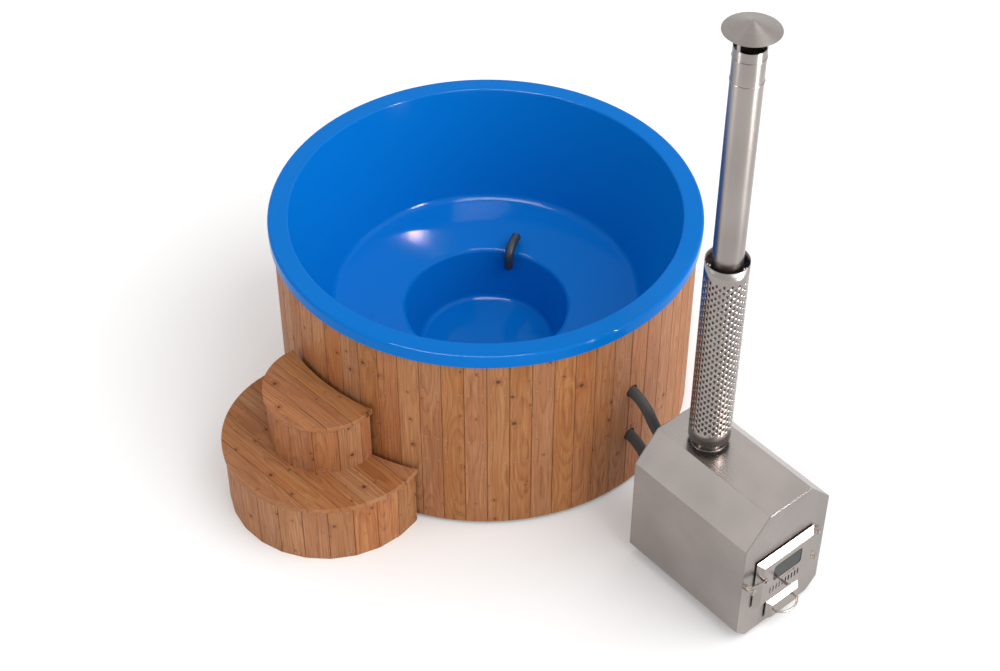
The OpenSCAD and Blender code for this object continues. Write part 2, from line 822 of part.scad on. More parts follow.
module drain_ball() {
    color(steel) translate([tap_x + tap_l / 2, drain_y, drain_h]) rotate([90, 0, 0])
        rotate_extrude($fn = round_fn) difference() {
            circle(r = ball_r, $fn = round_fn);
            translate([ball_bore_r - 2 * ball_r, -ball_r]) square([2 * ball_r, 2 * ball_r]);
        }
}

module drain_lever() {
    stem_z = ball_r + fit;
    color("#c23b2e") translate([tap_x + tap_l / 2, drain_y, drain_h]) {
        translate([0, 0, stem_z]) cylinder(h = tap_r + stem_top - stem_z, r = stem_r, $fn = round_fn);
        translate([-lever_w / 2, -lever_w / 2, tap_r + stem_top]) cube([lever_w, lever_l, lever_t]);
        translate([0, lever_l - lever_w / 2, tap_r + stem_top])
            cylinder(h = lever_t, r = lever_w / 2, $fn = round_fn);
    }
}

// Steps: a round front, a back that follows the tub, planks on top and upright boards round the side
module at_steps() {
    rotate(step_angle) translate([step_centre, 0, 0]) children();
}

module step_outline(r) {
    difference() {
        circle(r = r, $fn = 2 * round_fn);
        translate([-step_centre, 0]) circle(r = step_back_r, $fn = 2 * round_fn);
    }
}

module step_tread(r, top) {
    first = -floor(r / plank_w);
    color(wood) at_steps() translate([0, 0, top - tread_t]) linear_extrude(tread_t)
        for (i = [first : -first]) intersection() {
            step_outline(r);
            translate([r - (i - first + 1) * plank_w + plank_gap / 2, -r])
                square([plank_w - plank_gap, 2 * r]);
        }
}

// Angle from the front at which the side boards meet the back's circle
function back_angle(r) =
    acos((pow(step_back_r, 2) - pow(step_centre, 2) - pow(r, 2)) / (2 * step_centre * r));

module step_boards(tread_r, from, to) {
    r = tread_r - tread_over;
    pitch = side_board_w / r * 180 / PI;
    side_n = ceil(back_angle(r) / pitch - 0.5);
    color(wood) difference() {
        at_steps() for (i = [-side_n : side_n]) rotate(i * pitch) translate([0, 0, from])
            stave(r, pitch, side_board_t, to - from);
        translate([0, 0, from - over])
            cylinder(h = to - from + 2 * over, r = step_back_r, $fn = 2 * round_fn);
    }
}

module step_frame(tread_r, from, to) {
    r = (tread_r - tread_over) * cos(side_board_w / (tread_r - tread_over) * 90 / PI) - side_board_t - fit;
    color(frame_wood) at_steps() {
        for (z = [from, to - rib_t]) translate([0, 0, z]) linear_extrude(rib_t) step_outline(r);
        for (a = step_post_angles) rotate(a)
            translate([r - 1.5 * step_post_w, -step_post_w / 2, from + rib_t])
            cube([step_post_w, step_post_w, to - from - 2 * rib_t]);
    }
}

module lower_step_tread() step_tread(lower_tread_r, lower_tread_h);
module lower_step_boards() step_boards(lower_tread_r, 0, lower_tread_h - tread_t);
module lower_step_frame() step_frame(lower_tread_r, 0, lower_tread_h - tread_t);
module upper_step_tread() step_tread(upper_tread_r, upper_tread_h);
module upper_step_boards() step_boards(upper_tread_r, lower_tread_h, upper_tread_h - tread_t);
module upper_step_frame() step_frame(upper_tread_r, lower_tread_h, upper_tread_h - tread_t);

// Stove: an eight-sided casing, a firebox in a water space, a grate and feet
module along_stove(from, length) {
    forward(from) linear_extrude(length) children();
}

module stove_casing() {
    color(steel) difference() {
        along_stove(stove_back_y + plate_t, stove_l - 2 * plate_t) difference() {
            polygon(outline);
            polygon(inset(outline, plate_t));
        }
        translate([0, -flue_axis_y, stove_h - 2 * plate_t])
            cylinder(h = 3 * plate_t, r = flue_r - flue_t, $fn = round_fn);
    }
}

module stove_front() {
    color(steel) along_stove(stove_y - plate_t, plate_t) difference() {
        polygon(outline);
        translate([-door_shift - door_w / 2 + door_open_inset, door_z + door_open_inset])
            square([door_w - 2 * door_open_inset, door_h - 2 * door_open_inset]);
        translate([ash_shift - ash_box_w / 2 - ash_box_gap, firebox_z])
            square([ash_box_w + 2 * ash_box_gap, ash_box_h + 2 * ash_box_gap]);
    }
}

module stove_back() {
    color(steel) difference() {
        along_stove(stove_back_y, plate_t) polygon(outline);
        for (z = [upper_spigot_h, lower_spigot_h]) translate([hose_x, 0, z]) forward(stove_back_y - over)
            cylinder(h = plate_t + 2 * over, r = spigot_r + fit, $fn = round_fn);
    }
}

module stove_feet() {
    color(steel) for (x = [-1, 1], y = [stove_back_y + foot_inset, stove_y - foot_inset])
        translate([x * (stove_w / 2 - foot_inset), -y, 0])
            cylinder(h = stove_lift, r = foot_r, $fn = round_fn);
}

module firebox() {
    back = stove_back_y + jacket_w + plate_t;
    color("#5a5550") difference() {
        union() {
            along_stove(back, stove_y - plate_t - back) difference() {
                polygon(inset(outline, jacket_w));
                polygon(inset(outline, jacket_w + firebox_t));
            }
            along_stove(back, firebox_t) polygon(inset(outline, jacket_w));
            for (x = [-firebox_half_w, firebox_half_w - ledge_w]) along_stove(back, stove_y - plate_t - back)
                translate([x, grate_h - ledge_t]) square([ledge_w, ledge_t]);
        }
        translate([0, -flue_axis_y, stove_h - jacket_w - 2 * firebox_t])
            cylinder(h = 3 * firebox_t, r = flue_r - flue_t, $fn = round_fn);
    }
}

module fire_grate() {
    half = firebox_half_w - 2 * fit;
    from = stove_back_y + jacket_w + plate_t + firebox_t + ledge_t;
    length = stove_y - plate_t - ledge_w - from;
    pitch = (2 * half - grate_bar_w) / (grate_bar_n - 1);
    color("#3b3835") translate([0, 0, grate_h]) {
        for (i = [0 : grate_bar_n - 1]) translate([-half + i * pitch, -from - length, 0])
            cube([grate_bar_w, length, grate_t]);
        for (y = [from, from + length - grate_bar_w]) translate([-half, -y - grate_bar_w, 0])
            cube([2 * half, grate_bar_w, grate_t]);
    }
}

// Spigots on the stove's back, and the collar on its top
module spigot(z) {
    color(steel) translate([hose_x, 0, z]) forward(stove_back_y - spigot_l) {
        tube(spigot_r, spigot_r - spigot_wall, spigot_l + plate_t + jacket_w / 2);
        translate([0, 0, spigot_l + plate_t + fit]) tube(spigot_flange_r, spigot_r - fit, spigot_flange_t);
    }
}

module upper_spigot() spigot(upper_spigot_h);
module lower_spigot() spigot(lower_spigot_h);

module flue_collar() {
    inner = flue_r - 3 * flue_t;
    outer = flue_r - flue_t - fit;
    color(steel) translate([0, -flue_axis_y, 0]) {
        translate([0, 0, stove_h - jacket_w - firebox_t]) tube(outer, inner, jacket_w + firebox_t + flue_lap);
        translate([0, 0, stove_h]) tube(collar_flange_r, inner, collar_flange_t);
    }
}

// Door: a pressed pan with a sloping border, a liner, a gasket, a window and two hinges
module sloped_pan(w, h, depth, bevel) {
    intersection() {
        translate([0, 0, -over]) linear_extrude(h + 2 * over)
            polygon([[-w / 2, 0], [-w / 2 + bevel, -depth], [w / 2 - bevel, -depth], [w / 2, 0]]);
        rotate([90, 0, 90]) translate([0, 0, -w / 2 - over]) linear_extrude(w + 2 * over)
            polygon([[0, 0], [0, h], [-depth, h - bevel], [-depth, bevel]]);
    }
}

module pan_hollow(w, h, depth, bevel) {
    slant = sheet_t * norm([bevel, depth]) / depth;
    translate([0, 0, slant])
        sloped_pan(w - 2 * slant, h - 2 * slant, depth - sheet_t, bevel * (depth - sheet_t) / depth);
}

module hollow_pan(w, h, depth, bevel) {
    difference() {
        sloped_pan(w, h, depth, bevel);
        pan_hollow(w, h, depth, bevel);
    }
}

module at_door() {
    translate([-door_shift, -door_y, door_z]) children();
}

module window_cut(grow, length) {
    translate([-window_w / 2 - grow, length / 2, window_z - grow]) rotate([90, 0, 0]) linear_extrude(length)
        rounded_box(window_w + 2 * grow, window_h + 2 * grow, window_round + grow / 2);
}

module air_slots(length) {
    for (i = [0 : vent_n - 1])
        translate([(i - (vent_n - 1) / 2) * vent_pitch - vent_w / 2 - vent_shift, -length / 2, vent_rise])
            cube([vent_w, length, vent_h]);
}

module guide_slot(length) {
    for (x = [0, slide_travel]) translate([rod_x + x, length / 2, guide_rise]) rotate([90, 0, 0])
        cylinder(h = length, r = rod_r + fit, $fn = round_fn);
    translate([rod_x, -length / 2, guide_rise - rod_r - fit])
        cube([slide_travel, length, 2 * (rod_r + fit)]);
}

module ear(z) {
    tip = [hinge_x + door_shift, door_y - hinge_y];
    root_x = door_w / 2 - door_bevel / 2;
    translate([0, 0, z - door_z + fit]) linear_extrude(lug_t) difference() {
        union() {
            translate(tip) circle(r = lug_r, $fn = round_fn);
            translate([root_x - door_bevel / 2, tip[1] - lug_r / 2])
                square([tip[0] - root_x + door_bevel / 2, lug_r]);
        }
        translate(tip) circle(r = hinge_pin_r + pin_fit, $fn = round_fn);
    }
}

module slide_rail() {
    low = vent_rise - slide_drop;
    front = sheet_t / 2 - door_depth;
    back = sheet_t + slide_t + 2 * fit + rail_t - door_depth;
    from = rod_r - vent_shift - slide_l;
    translate([from, 0, 0]) rotate([90, 0, 90]) linear_extrude(slide_l + slide_travel) polygon([
        [front, low - rail_t], [back, low - rail_t], [back, low + rail_lip],
        [back - rail_t, low + rail_lip], [back - rail_t, low], [front, low]]);
}

function hinge_z(share) = door_z + share * door_h;

module door_pan() {
    color(steel) at_door() {
        difference() {
            hollow_pan(door_w, door_h, door_depth, door_bevel);
            translate([0, -door_depth, 0]) {
                window_cut(0, 4 * sheet_t);
                air_slots(4 * sheet_t);
                guide_slot(4 * sheet_t);
            }
        }
        slide_rail();
        for (share = hinge_shares) difference() {
            ear(hinge_z(share));
            pan_hollow(door_w, door_h, door_depth, door_bevel);
        }
    }
}

module door_liner() {
    slant = sheet_t * norm([door_bevel, door_depth]) / door_depth + door_bevel * liner_t / door_depth + fit;
    air_w = vent_n * vent_pitch / 2;
    color(steel) at_door() difference() {
        translate([-door_w / 2 + slant, -liner_t, slant])
            cube([door_w - 2 * slant, liner_t, door_h - 2 * slant]);
        window_cut(0, 4 * liner_t);
        translate([-vent_shift - air_w, -2 * liner_t, vent_rise]) cube([air_w, 4 * liner_t, vent_h]);
    }
}

module door_gasket() {
    color("#4a4a48") at_door() translate([-door_w / 2 + gasket_inset, fit, gasket_inset]) rotate([90, 0, 0])
        translate([0, 0, -door_gap + 2 * fit]) linear_extrude(door_gap - 2 * fit) difference() {
            square([door_w - 2 * gasket_inset, door_h - 2 * gasket_inset]);
            translate([gasket_w, gasket_w])
                square([door_w - 2 * gasket_inset - 2 * gasket_w, door_h - 2 * gasket_inset - 2 * gasket_w]);
        }
}

module window_glass() {
    color("#202326") at_door()
        translate([-window_w / 2 - glass_lap, -door_depth + sheet_t, window_z - glass_lap])
        cube([window_w + 2 * glass_lap, glass_t, window_h + 2 * glass_lap]);
}

module glass_frame() {
    w = window_w + 2 * glass_lap;
    h = window_h + 2 * glass_lap;
    color(steel) at_door() translate([-w / 2, -door_depth + sheet_t + glass_t, window_z - glass_lap])
        difference() {
        cube([w, glass_frame_t, h]);
        translate([glass_frame_w, -over, glass_frame_w])
            cube([w - 2 * glass_frame_w, glass_frame_t + 2 * over, h - 2 * glass_frame_w]);
    }
}

module hinge_lugs() {
    color(steel) for (share = hinge_shares) translate([hinge_x, -hinge_y, hinge_z(share) - lug_t])
        linear_extrude(lug_t) difference() {
            union() {
                circle(r = lug_r, $fn = round_fn);
                polygon([
                    [-lug_r, 0], [lug_r, 0],
                    [lug_root - lug_r, hinge_y - stove_y], [-lug_r, hinge_y - stove_y]]);
            }
            circle(r = hinge_pin_r + pin_fit, $fn = round_fn);
        }
}

module hinge_pins() {
    length = 2 * lug_t + 2 * fit;
    color(steel) for (share = hinge_shares) translate([hinge_x, -hinge_y, hinge_z(share) - lug_t]) {
        cylinder(h = length, r = hinge_pin_r, $fn = round_fn);
        translate([0, 0, length]) cylinder(h = pin_head_t, r = pin_head_r, $fn = round_fn);
        translate([0, 0, -pin_head_t - fit]) cylinder(h = pin_head_t, r = pin_head_r, $fn = round_fn);
        translate([0, 0, -fit]) cylinder(h = fit, r = hinge_pin_r, $fn = round_fn);
    }
}

// Air slide: a blank plate behind the air slots, moved by a rod through the guide slot
module air_slide() {
    x0 = rod_r - vent_shift - slide_l;
    low = vent_rise - slide_drop + fit;
    high = vent_rise + vent_h + slide_drop / 2;
    top = guide_rise + slide_top;
    color(steel) at_door() translate([0, -door_depth + sheet_t + fit + slide_t, 0]) rotate([90, 0, 0])
        linear_extrude(slide_t) union() {
            translate([x0, low]) square([slide_l, high - low]);
            translate([rod_x - 2 * rod_r, high - over])
                square([slide_travel + 2 * rod_r, top - high + over]);
            translate([x0, high - over]) square([rod_x - x0, over]);
        }
}

module air_rod() {
    color(steel) at_door() translate([rod_x, 0, guide_rise]) forward(door_depth - sheet_t - fit) {
        cylinder(h = rod_l + sheet_t + fit - rod_knob_l, r = rod_r, $fn = round_fn);
        translate([0, 0, rod_l + sheet_t + fit - rod_knob_l])
            cylinder(h = rod_knob_l, r = rod_knob_r, $fn = round_fn);
    }
}

// Latch: a bar that turns on a bolt and drops behind the lip of a catch
module latch_bolt() {
    length = latch_washer_t + latch_t + 2 * fit;
    color(steel) translate([latch_x, 0, latch_z]) forward(face_y) {
        cylinder(h = latch_washer_t, r = latch_head_r, $fn = round_fn);
        cylinder(h = length, r = latch_bolt_r, $fn = round_fn);
        translate([0, 0, length]) cylinder(h = latch_head_t, r = latch_head_r, $fn = round_fn);
    }
}

module latch_bar() {
    color(steel) translate([latch_x, 0, latch_z]) rotate([0, latch_angle, 0])
        forward(face_y + latch_washer_t + fit) linear_extrude(latch_t) difference() {
            union() {
                circle(r = latch_w / 2 + latch_boss_over, $fn = round_fn);
                translate([-latch_l, -latch_w / 2]) square([latch_l, latch_w]);
                translate([-latch_l, 0]) circle(r = latch_w / 2, $fn = round_fn);
            }
            circle(r = latch_bolt_r + pin_fit, $fn = round_fn);
        }
}

module latch_catch() {
    reach = face_y + latch_washer_t + latch_t + 3 * fit + catch_lip_t - stove_y + over;
    top = latch_z - latch_w / 2 - fit;
    x = latch_x - latch_l + catch_w / 3;
    bar_rise = (latch_x - x - catch_w) * tan(latch_angle);
    rise = bar_rise - latch_w / 2 / cos(latch_angle) + latch_w / 2 - catch_clear;
    color(steel) translate([x, -stove_y - reach, top - catch_t]) {
        cube([catch_w, reach, catch_t]);
        cube([catch_w, catch_lip_t, catch_t + rise]);
    }
}

// Ash drawer
module ash_drawer_front() {
    color(steel) translate([ash_shift, -stove_y - door_gap, ash_z])
        hollow_pan(ash_w, ash_h, ash_depth, ash_bevel);
}

module ash_drawer_box() {
    border = ash_bevel + 2 * sheet_t + fit;
    neck_l = door_gap + ash_depth - sheet_t;
    color(steel) translate([ash_shift, -stove_y, firebox_z + fit]) {
        difference() {
            translate([-ash_box_w / 2, 0, 0]) cube([ash_box_w, ash_l, ash_box_h]);
            translate([ash_t - ash_box_w / 2, ash_t, ash_t])
                cube([ash_box_w - 2 * ash_t, ash_l - 2 * ash_t, ash_box_h]);
        }
        translate([border - ash_w / 2, -neck_l, ash_z + border - firebox_z - fit]) difference() {
            cube([ash_w - 2 * border, neck_l, ash_h - 2 * border]);
            translate([ash_t, -over, ash_t])
                cube([ash_w - 2 * border - 2 * ash_t, neck_l + over, ash_h - 2 * border - 2 * ash_t]);
        }
    }
}

module ash_drawer_handle() {
    bow_rise_in = bow_rise - bow_foot_l;
    bow_bend = (pow(bow_l / 2, 2) + pow(bow_rise_in, 2)) / (2 * bow_rise_in);
    half = asin(bow_l / 2 / bow_bend);
    face = stove_y + door_gap + ash_depth;
    color(steel) translate([ash_shift, -face, bow_z]) {
        translate([0, bow_bend - bow_rise, 0]) rotate(-90 - half)
            rotate_extrude(angle = 2 * half, $fn = round_fn) translate([bow_bend, 0]) circle(r = bow_r);
        for (x = [-bow_l / 2, bow_l / 2]) translate([x, 0, 0]) rotate([90, 0, 0])
            cylinder(h = bow_foot_l + bow_r, r = bow_r, $fn = round_fn);
    }
}

// Chimney: flue sections with beads, a cap on stays and a perforated heat guard
module bead(z) {
    translate([0, 0, z]) rotate_extrude($fn = round_fn) translate([flue_r, 0]) circle(r = bead_r, $fn = 24);
}

module flue_section(from, to, spigot_end) {
    translate([0, 0, from]) tube(flue_r, flue_r - flue_t, to - from);
    if (spigot_end) translate([0, 0, from - flue_lap])
        rotate_extrude($fn = round_fn) polygon([
            [flue_r - 2 * flue_t - fit, 0], [flue_r - flue_t - fit, 0], [flue_r - flue_t - fit, flue_lap],
            [flue_r, flue_lap], [flue_r, flue_lap + flue_t], [flue_r - 2 * flue_t - fit, flue_lap + flue_t]]);
}

module lower_flue() {
    color(steel) translate([0, -flue_axis_y, 0])
        flue_section(stove_h + collar_flange_t, joint_h, false);
}

module upper_flue() {
    color(steel) translate([0, -flue_axis_y, 0]) {
        flue_section(joint_h, top_bead_h, true);
        difference() {
            for (z = [bead_h, top_bead_h - bead_r]) bead(z);
            cylinder(h = flue_top, r = flue_r - flue_t, $fn = round_fn);
        }
    }
}

module cap_and_stays() {
    cap_r = cap_d / 2;
    slant = flue_t * norm([cap_r, cap_h]) / cap_r;
    stay_out = flue_r - flue_t / 2;
    stay_in = stay_out - stay_t;
    cone_out = cap_z + cap_h * (1 - stay_out / cap_r) - slant / 2;
    cone_in = cap_z + cap_h * (1 - stay_in / cap_r) - slant / 2;
    color(steel) translate([0, -flue_axis_y, 0]) {
        flue_section(top_bead_h, flue_top, true);
        translate([0, 0, cap_z]) rotate_extrude($fn = 2 * round_fn)
            polygon([[0, cap_h], [0, cap_h - slant], [cap_r - flue_t, 0], [cap_r, 0]]);
        for (i = [0 : stay_n - 1]) rotate(stay_turn + i * 360 / stay_n)
            translate([0, stay_w / 2, 0]) rotate([90, 0, 0]) linear_extrude(stay_w) polygon([
                [stay_in, flue_top - stay_lap], [stay_out, flue_top - stay_lap],
                [stay_out, cone_out], [stay_in, cone_in]]);
    }
}

// Heat guard: narrow flat strips, each with one column of holes, stand in a circle. Every other one is a
// little shorter, so that their ends don't lie in one face.
module guard_strip(column) {
    hole_pitch = (guard_l - 2 * guard_band) / (guard_rows - 1 / 2);
    rotate([90, 0, 0]) linear_extrude(guard_t) difference() {
        translate([-guard_side / 2 - guard_seam, 0])
            square([guard_side + 2 * guard_seam, guard_l - (column % 2) * fit]);
        for (row = [0 : guard_rows - 1])
            translate([0, guard_band + (row + (column % 2) / 2) * hole_pitch])
                circle(d = guard_hole_d, $fn = 24);
    }
}

module heat_guard() {
    color(steel) translate([0, -flue_axis_y, guard_z]) {
        for (column = [0 : guard_n - 1]) rotate(column * 360 / guard_n)
            translate([0, guard_t - guard_flat_r, 0]) guard_strip(column);
        for (i = [0 : spacer_n - 1], z = [guard_band / 3, guard_l - guard_band / 3 - spacer_h])
            rotate(i * 360 / spacer_n) translate([flue_r + fit, -spacer_t / 2, z])
                cube([guard_flat_r - guard_t / 2 - flue_r - fit, spacer_t, spacer_h]);
    }
}

tub_shell();
cladding_boards();
top_rail();
middle_rail();
bottom_rail();
upper_studs();
lower_studs();
base_bearers();
base_plate();
floor_joists();
seat_rail();
seat_props();
grab_bar();
grab_bar_feet();
upper_wall_fitting();
lower_wall_fitting();
fitting_nuts();
fitting_grilles();
upper_hose();
lower_hose();
hose_clamps();
drain_grate();
drain_pipe();
drain_tap();
drain_ball();
drain_lever();
lower_step_tread();
lower_step_boards();
lower_step_frame();
upper_step_tread();
upper_step_boards();
upper_step_frame();
stove_casing();
stove_front();
stove_back();
stove_feet();
firebox();
fire_grate();
upper_spigot();
lower_spigot();
flue_collar();
door_pan();
door_liner();
door_gasket();
window_glass();
glass_frame();
hinge_lugs();
hinge_pins();
air_slide();
air_rod();
latch_bolt();
latch_bar();
latch_catch();
ash_drawer_box();
ash_drawer_front();
ash_drawer_handle();
lower_flue();
upper_flue();
cap_and_stays();
heat_guard();
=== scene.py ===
"""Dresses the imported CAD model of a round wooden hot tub, its steps, outside stove and chimney."""

import math
from functools import partial

import bmesh
import bpy
from bpy.props import FloatProperty, FloatVectorProperty, IntProperty, PointerProperty
from mathutils import Matrix, Vector


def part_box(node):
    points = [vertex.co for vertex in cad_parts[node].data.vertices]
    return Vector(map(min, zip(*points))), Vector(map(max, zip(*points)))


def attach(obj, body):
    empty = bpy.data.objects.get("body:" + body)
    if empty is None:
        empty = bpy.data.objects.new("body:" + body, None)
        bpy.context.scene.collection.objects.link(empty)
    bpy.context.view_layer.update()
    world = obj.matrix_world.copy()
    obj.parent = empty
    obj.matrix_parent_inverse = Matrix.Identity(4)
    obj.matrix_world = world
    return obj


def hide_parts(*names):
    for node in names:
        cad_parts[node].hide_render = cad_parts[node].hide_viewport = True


bl_info = {
    "name": "Wooden hot tub",
    "version": (1, 0, 0),
    "blender": (4, 5, 0),
    "location": "View3D > Sidebar > Hot tub",
    "description": "Finishes for a timber-clad hot tub with steps, an outside stove and a chimney",
    "category": "Object",
}

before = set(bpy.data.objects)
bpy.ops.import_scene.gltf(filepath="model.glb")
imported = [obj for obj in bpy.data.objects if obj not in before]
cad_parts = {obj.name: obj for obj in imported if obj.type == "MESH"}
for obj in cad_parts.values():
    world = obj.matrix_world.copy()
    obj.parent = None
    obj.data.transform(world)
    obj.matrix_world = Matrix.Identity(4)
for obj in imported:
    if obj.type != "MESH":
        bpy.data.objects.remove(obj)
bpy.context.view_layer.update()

ROOT = "tub_and_stove"
MM = 0.001

# Depth of the bevelled groove between two upright boards
GROOVE = 3.2 * MM

# The values that a noise texture mostly stays between
LOW, HIGH = 0.3, 0.7

# The photograph's width in pixels, and the camera that it was taken with, in the part's frame
PHOTO_WIDTH = 1000
CAMERA_SPOT = Vector((-4.4467, -5.337, 6.8036))
CAMERA_HEADING = Vector((0.6474, 0.7622, 0.0)).normalized()
CAMERA_PITCH = 0.7547
CAMERA_ROLL = -0.0012
FOCAL_PIXELS = 1959.7
SENSOR_WIDTH = 36.0


def linear(hex_colour):
    """An sRGB hex colour as linear red, green and blue."""
    parts = [int(hex_colour[i : i + 2], 16) / 255 for i in (1, 3, 5)]
    return tuple(c / 12.92 if c <= 0.04045 else ((c + 0.055) / 1.055) ** 2.4 for c in parts)


def colour(name, description, default):
    """A colour setting, from an sRGB hex colour."""
    return FloatVectorProperty(
        name=name, description=description, default=linear(default), subtype="COLOR", min=0, max=1
    )


def size(name, description, millimetres):
    """A length setting, from millimetres."""
    return FloatProperty(
        name=name, description=description, default=millimetres * MM, unit="LENGTH", min=0
    )


def angle(name, description, degrees):
    """An angle setting, from degrees."""
    return FloatProperty(
        name=name, description=description, default=math.radians(degrees), subtype="ANGLE"
    )


class TubSettings(bpy.types.PropertyGroup):
    gelcoat: colour("Gelcoat", "Colour of the moulded insert", "#046abd")
    board_count: IntProperty(
        name="Boards", description="Number of cladding boards", default=62, min=3
    )
    board_radius: size("Board radius", "Radius of the circle through the boards' outer edges", 980)
    board_seam: angle("First seam", "Direction of one seam between boards", -129.8)
    pine: colour("Pine", "Early wood of the boards", "#b0794f")
    late_wood: colour("Late wood", "Late wood of the boards", "#7c4a2b")
    knot: colour("Knots", "Colour of the knots", "#4f2f20")
    nail_head: size("Nail head", "Diameter of a nail's head", 6)
    nail_beside: size("Nail spacing", "Distance of a nail from the middle of its board", 30)


class StepSettings(bpy.types.PropertyGroup):
    direction: angle("Direction", "Direction of the steps from the tub's middle", -175.7)
    centre: size("Centre", "Distance of the steps' centre from the tub's middle", 1018)
    lower_radius: size("Lower tread", "Radius of the lower tread", 482)
    upper_radius: size("Upper tread", "Radius of the upper tread", 273)
    tread_over: size("Tread overhang", "Distance that a tread stands out over the side boards", 9)
    plank_width: size("Plank width", "Width of a tread plank with its gap", 105)
    board_width: size("Side board width", "Width of a side board", 115)


class StoveSettings(bpy.types.PropertyGroup):
    steel: colour("Steel", "Colour of the brushed steel", "#968f8b")
    sheet_edge: size("Sheet edge", "Softness of the folded and cut sheet edges", 1.2)


class HoseSettings(bpy.types.PropertyGroup):
    diameter: size("Diameter", "Outer diameter of a hose", 52)
    wall: size("Wall", "Wall of a hose", 6.5)
    bend_inset: size("Bend inset", "Distance from the boards' edge in to the bend's start", 22)
    end_straight: size("End straight", "Straight length of a hose at the stove", 37)
    rubber: colour("Rubber", "Colour of the hoses", "#3a3836")


class ChimneySettings(bpy.types.PropertyGroup):
    hole_columns: IntProperty(
        name="Hole columns", description="Columns of holes", default=36, min=6
    )
    hole_rows: IntProperty(name="Hole rows", description="Holes in a column", default=26, min=1)
    hole: size("Hole", "Diameter of a hole in the heat guard", 9.2)
    plain_band: size("Plain band", "Height of the plain band at each end of the guard", 76)
    sheet: size("Sheet", "Thickness of the guard's sheet", 1.2)


class StageSettings(bpy.types.PropertyGroup):
    floor: colour("Floor", "Colour of the floor", "#fafafa")
    sky: FloatProperty(
        name="Room light", description="Strength of the even light", default=0.85, min=0
    )
    key: FloatProperty(
        name="Key light", description="Strength of the soft light", default=2.1, min=0
    )
    key_width: angle("Key width", "Angle that the soft light fills", 70)
    lift: FloatProperty(
        name="Floor lift", description="Share of pure white in the floor", default=0.1, min=0, max=1
    )


# Materials


def add(tree, kind, links=None, stops=(), **settings):
    """Adds one node. Links maps an input's name, or its number among those in use, to a value, a
    socket or a node, and stops are a ramp's places and colours."""
    made = tree.nodes.new("ShaderNode" + kind)
    for key, value in settings.items():
        setattr(made, key, value)
    in_use = [socket for socket in made.inputs if socket.enabled]
    for key, value in (links or {}).items():
        socket = made.inputs[key] if isinstance(key, str) else in_use[key]
        if isinstance(value, bpy.types.Node):
            value = next(output for output in value.outputs if output.enabled)
        if isinstance(value, bpy.types.NodeSocket):
            tree.links.new(value, socket)
        else:
            socket.default_value = value
    for i, (place, shade) in enumerate(stops):
        ramp = made.color_ramp
        stop = ramp.elements[i] if i < 2 else ramp.elements.new(place)
        stop.position = place
        stop.color = (*shade, 1) if isinstance(shade, tuple) else (shade, shade, shade, 1)
    return made


def material(name, base, **sockets):
    """A new material with its node adder and its shader. A socket's name has _ for each space."""
    made = bpy.data.materials.new(name)
    made.use_nodes = True
    tree = made.node_tree
    shader = tree.nodes["Principled BSDF"]
    shade = linear(base) if isinstance(base, str) else base
    shader.inputs["Base Color"].default_value = (*shade, 1)
    for key, value in sockets.items():
        shader.inputs[key.replace("_", " ")].default_value = value
    return made, partial(add, tree), shader


def plug(shader, key, made):
    """Joins a node's result to one of the shader's sockets."""
    output = next(socket for socket in made.outputs if socket.enabled)
    shader.id_data.links.new(output, shader.inputs[key])


def board_space(n, place):
    """Where a point lies on its board: the board's number, and metres across, along and into it.
    A place of upright boards gives their circle, and a place of planks gives the tread's front."""
    spot = n("Mapping", {
        "Vector": n("TexCoord").outputs["Object"],
        "Location": place["centre"],
        "Rotation": (0, 0, place["turn"]),
    }, vector_type="TEXTURE")
    x, y, z = n("SeparateXYZ", {0: spot}).outputs
    if "radius" in place:
        round_axis = n("Math", {0: y, 1: x}, operation="ARCTAN2")
        count = n("Math", {0: round_axis, 1: 1 / place["pitch"], 2: place["shift"]},
                  operation="MULTIPLY_ADD")
    else:
        back = n("Math", {0: place["front"], 1: x}, operation="SUBTRACT")
        count = n("Math", {0: back, 1: place["width"]}, operation="DIVIDE")
    whole = n("Math", {0: count}, operation="FLOOR")
    number = n("Math", {0: whole, 1: place["seed"]}, operation="ADD")
    rest = n("Math", {0: count}, operation="FRACT")
    share = n("Math", {0: rest, 1: 0.5}, operation="SUBTRACT")
    if "radius" not in place:
        across = n("Math", {0: share, 1: place["width"]}, operation="MULTIPLY")
        return number, across, y, n("Math", {0: z, 1: place["top"]}, operation="SUBTRACT")
    reach = n("VectorMath", {0: n("CombineXYZ", {0: x, 1: y})}, operation="LENGTH")
    turn = n("Math", {0: share, 1: place["pitch"]}, operation="MULTIPLY")
    sine, cosine = (n("Math", {0: turn}, operation=kind) for kind in ("SINE", "COSINE"))
    across = n("Math", {0: reach, 1: sine}, operation="MULTIPLY")
    out = n("Math", {0: reach, 1: cosine}, operation="MULTIPLY")
    face = place["radius"] * math.cos(place["pitch"] / 2)
    return number, across, z, n("Math", {0: out, 1: face}, operation="SUBTRACT")


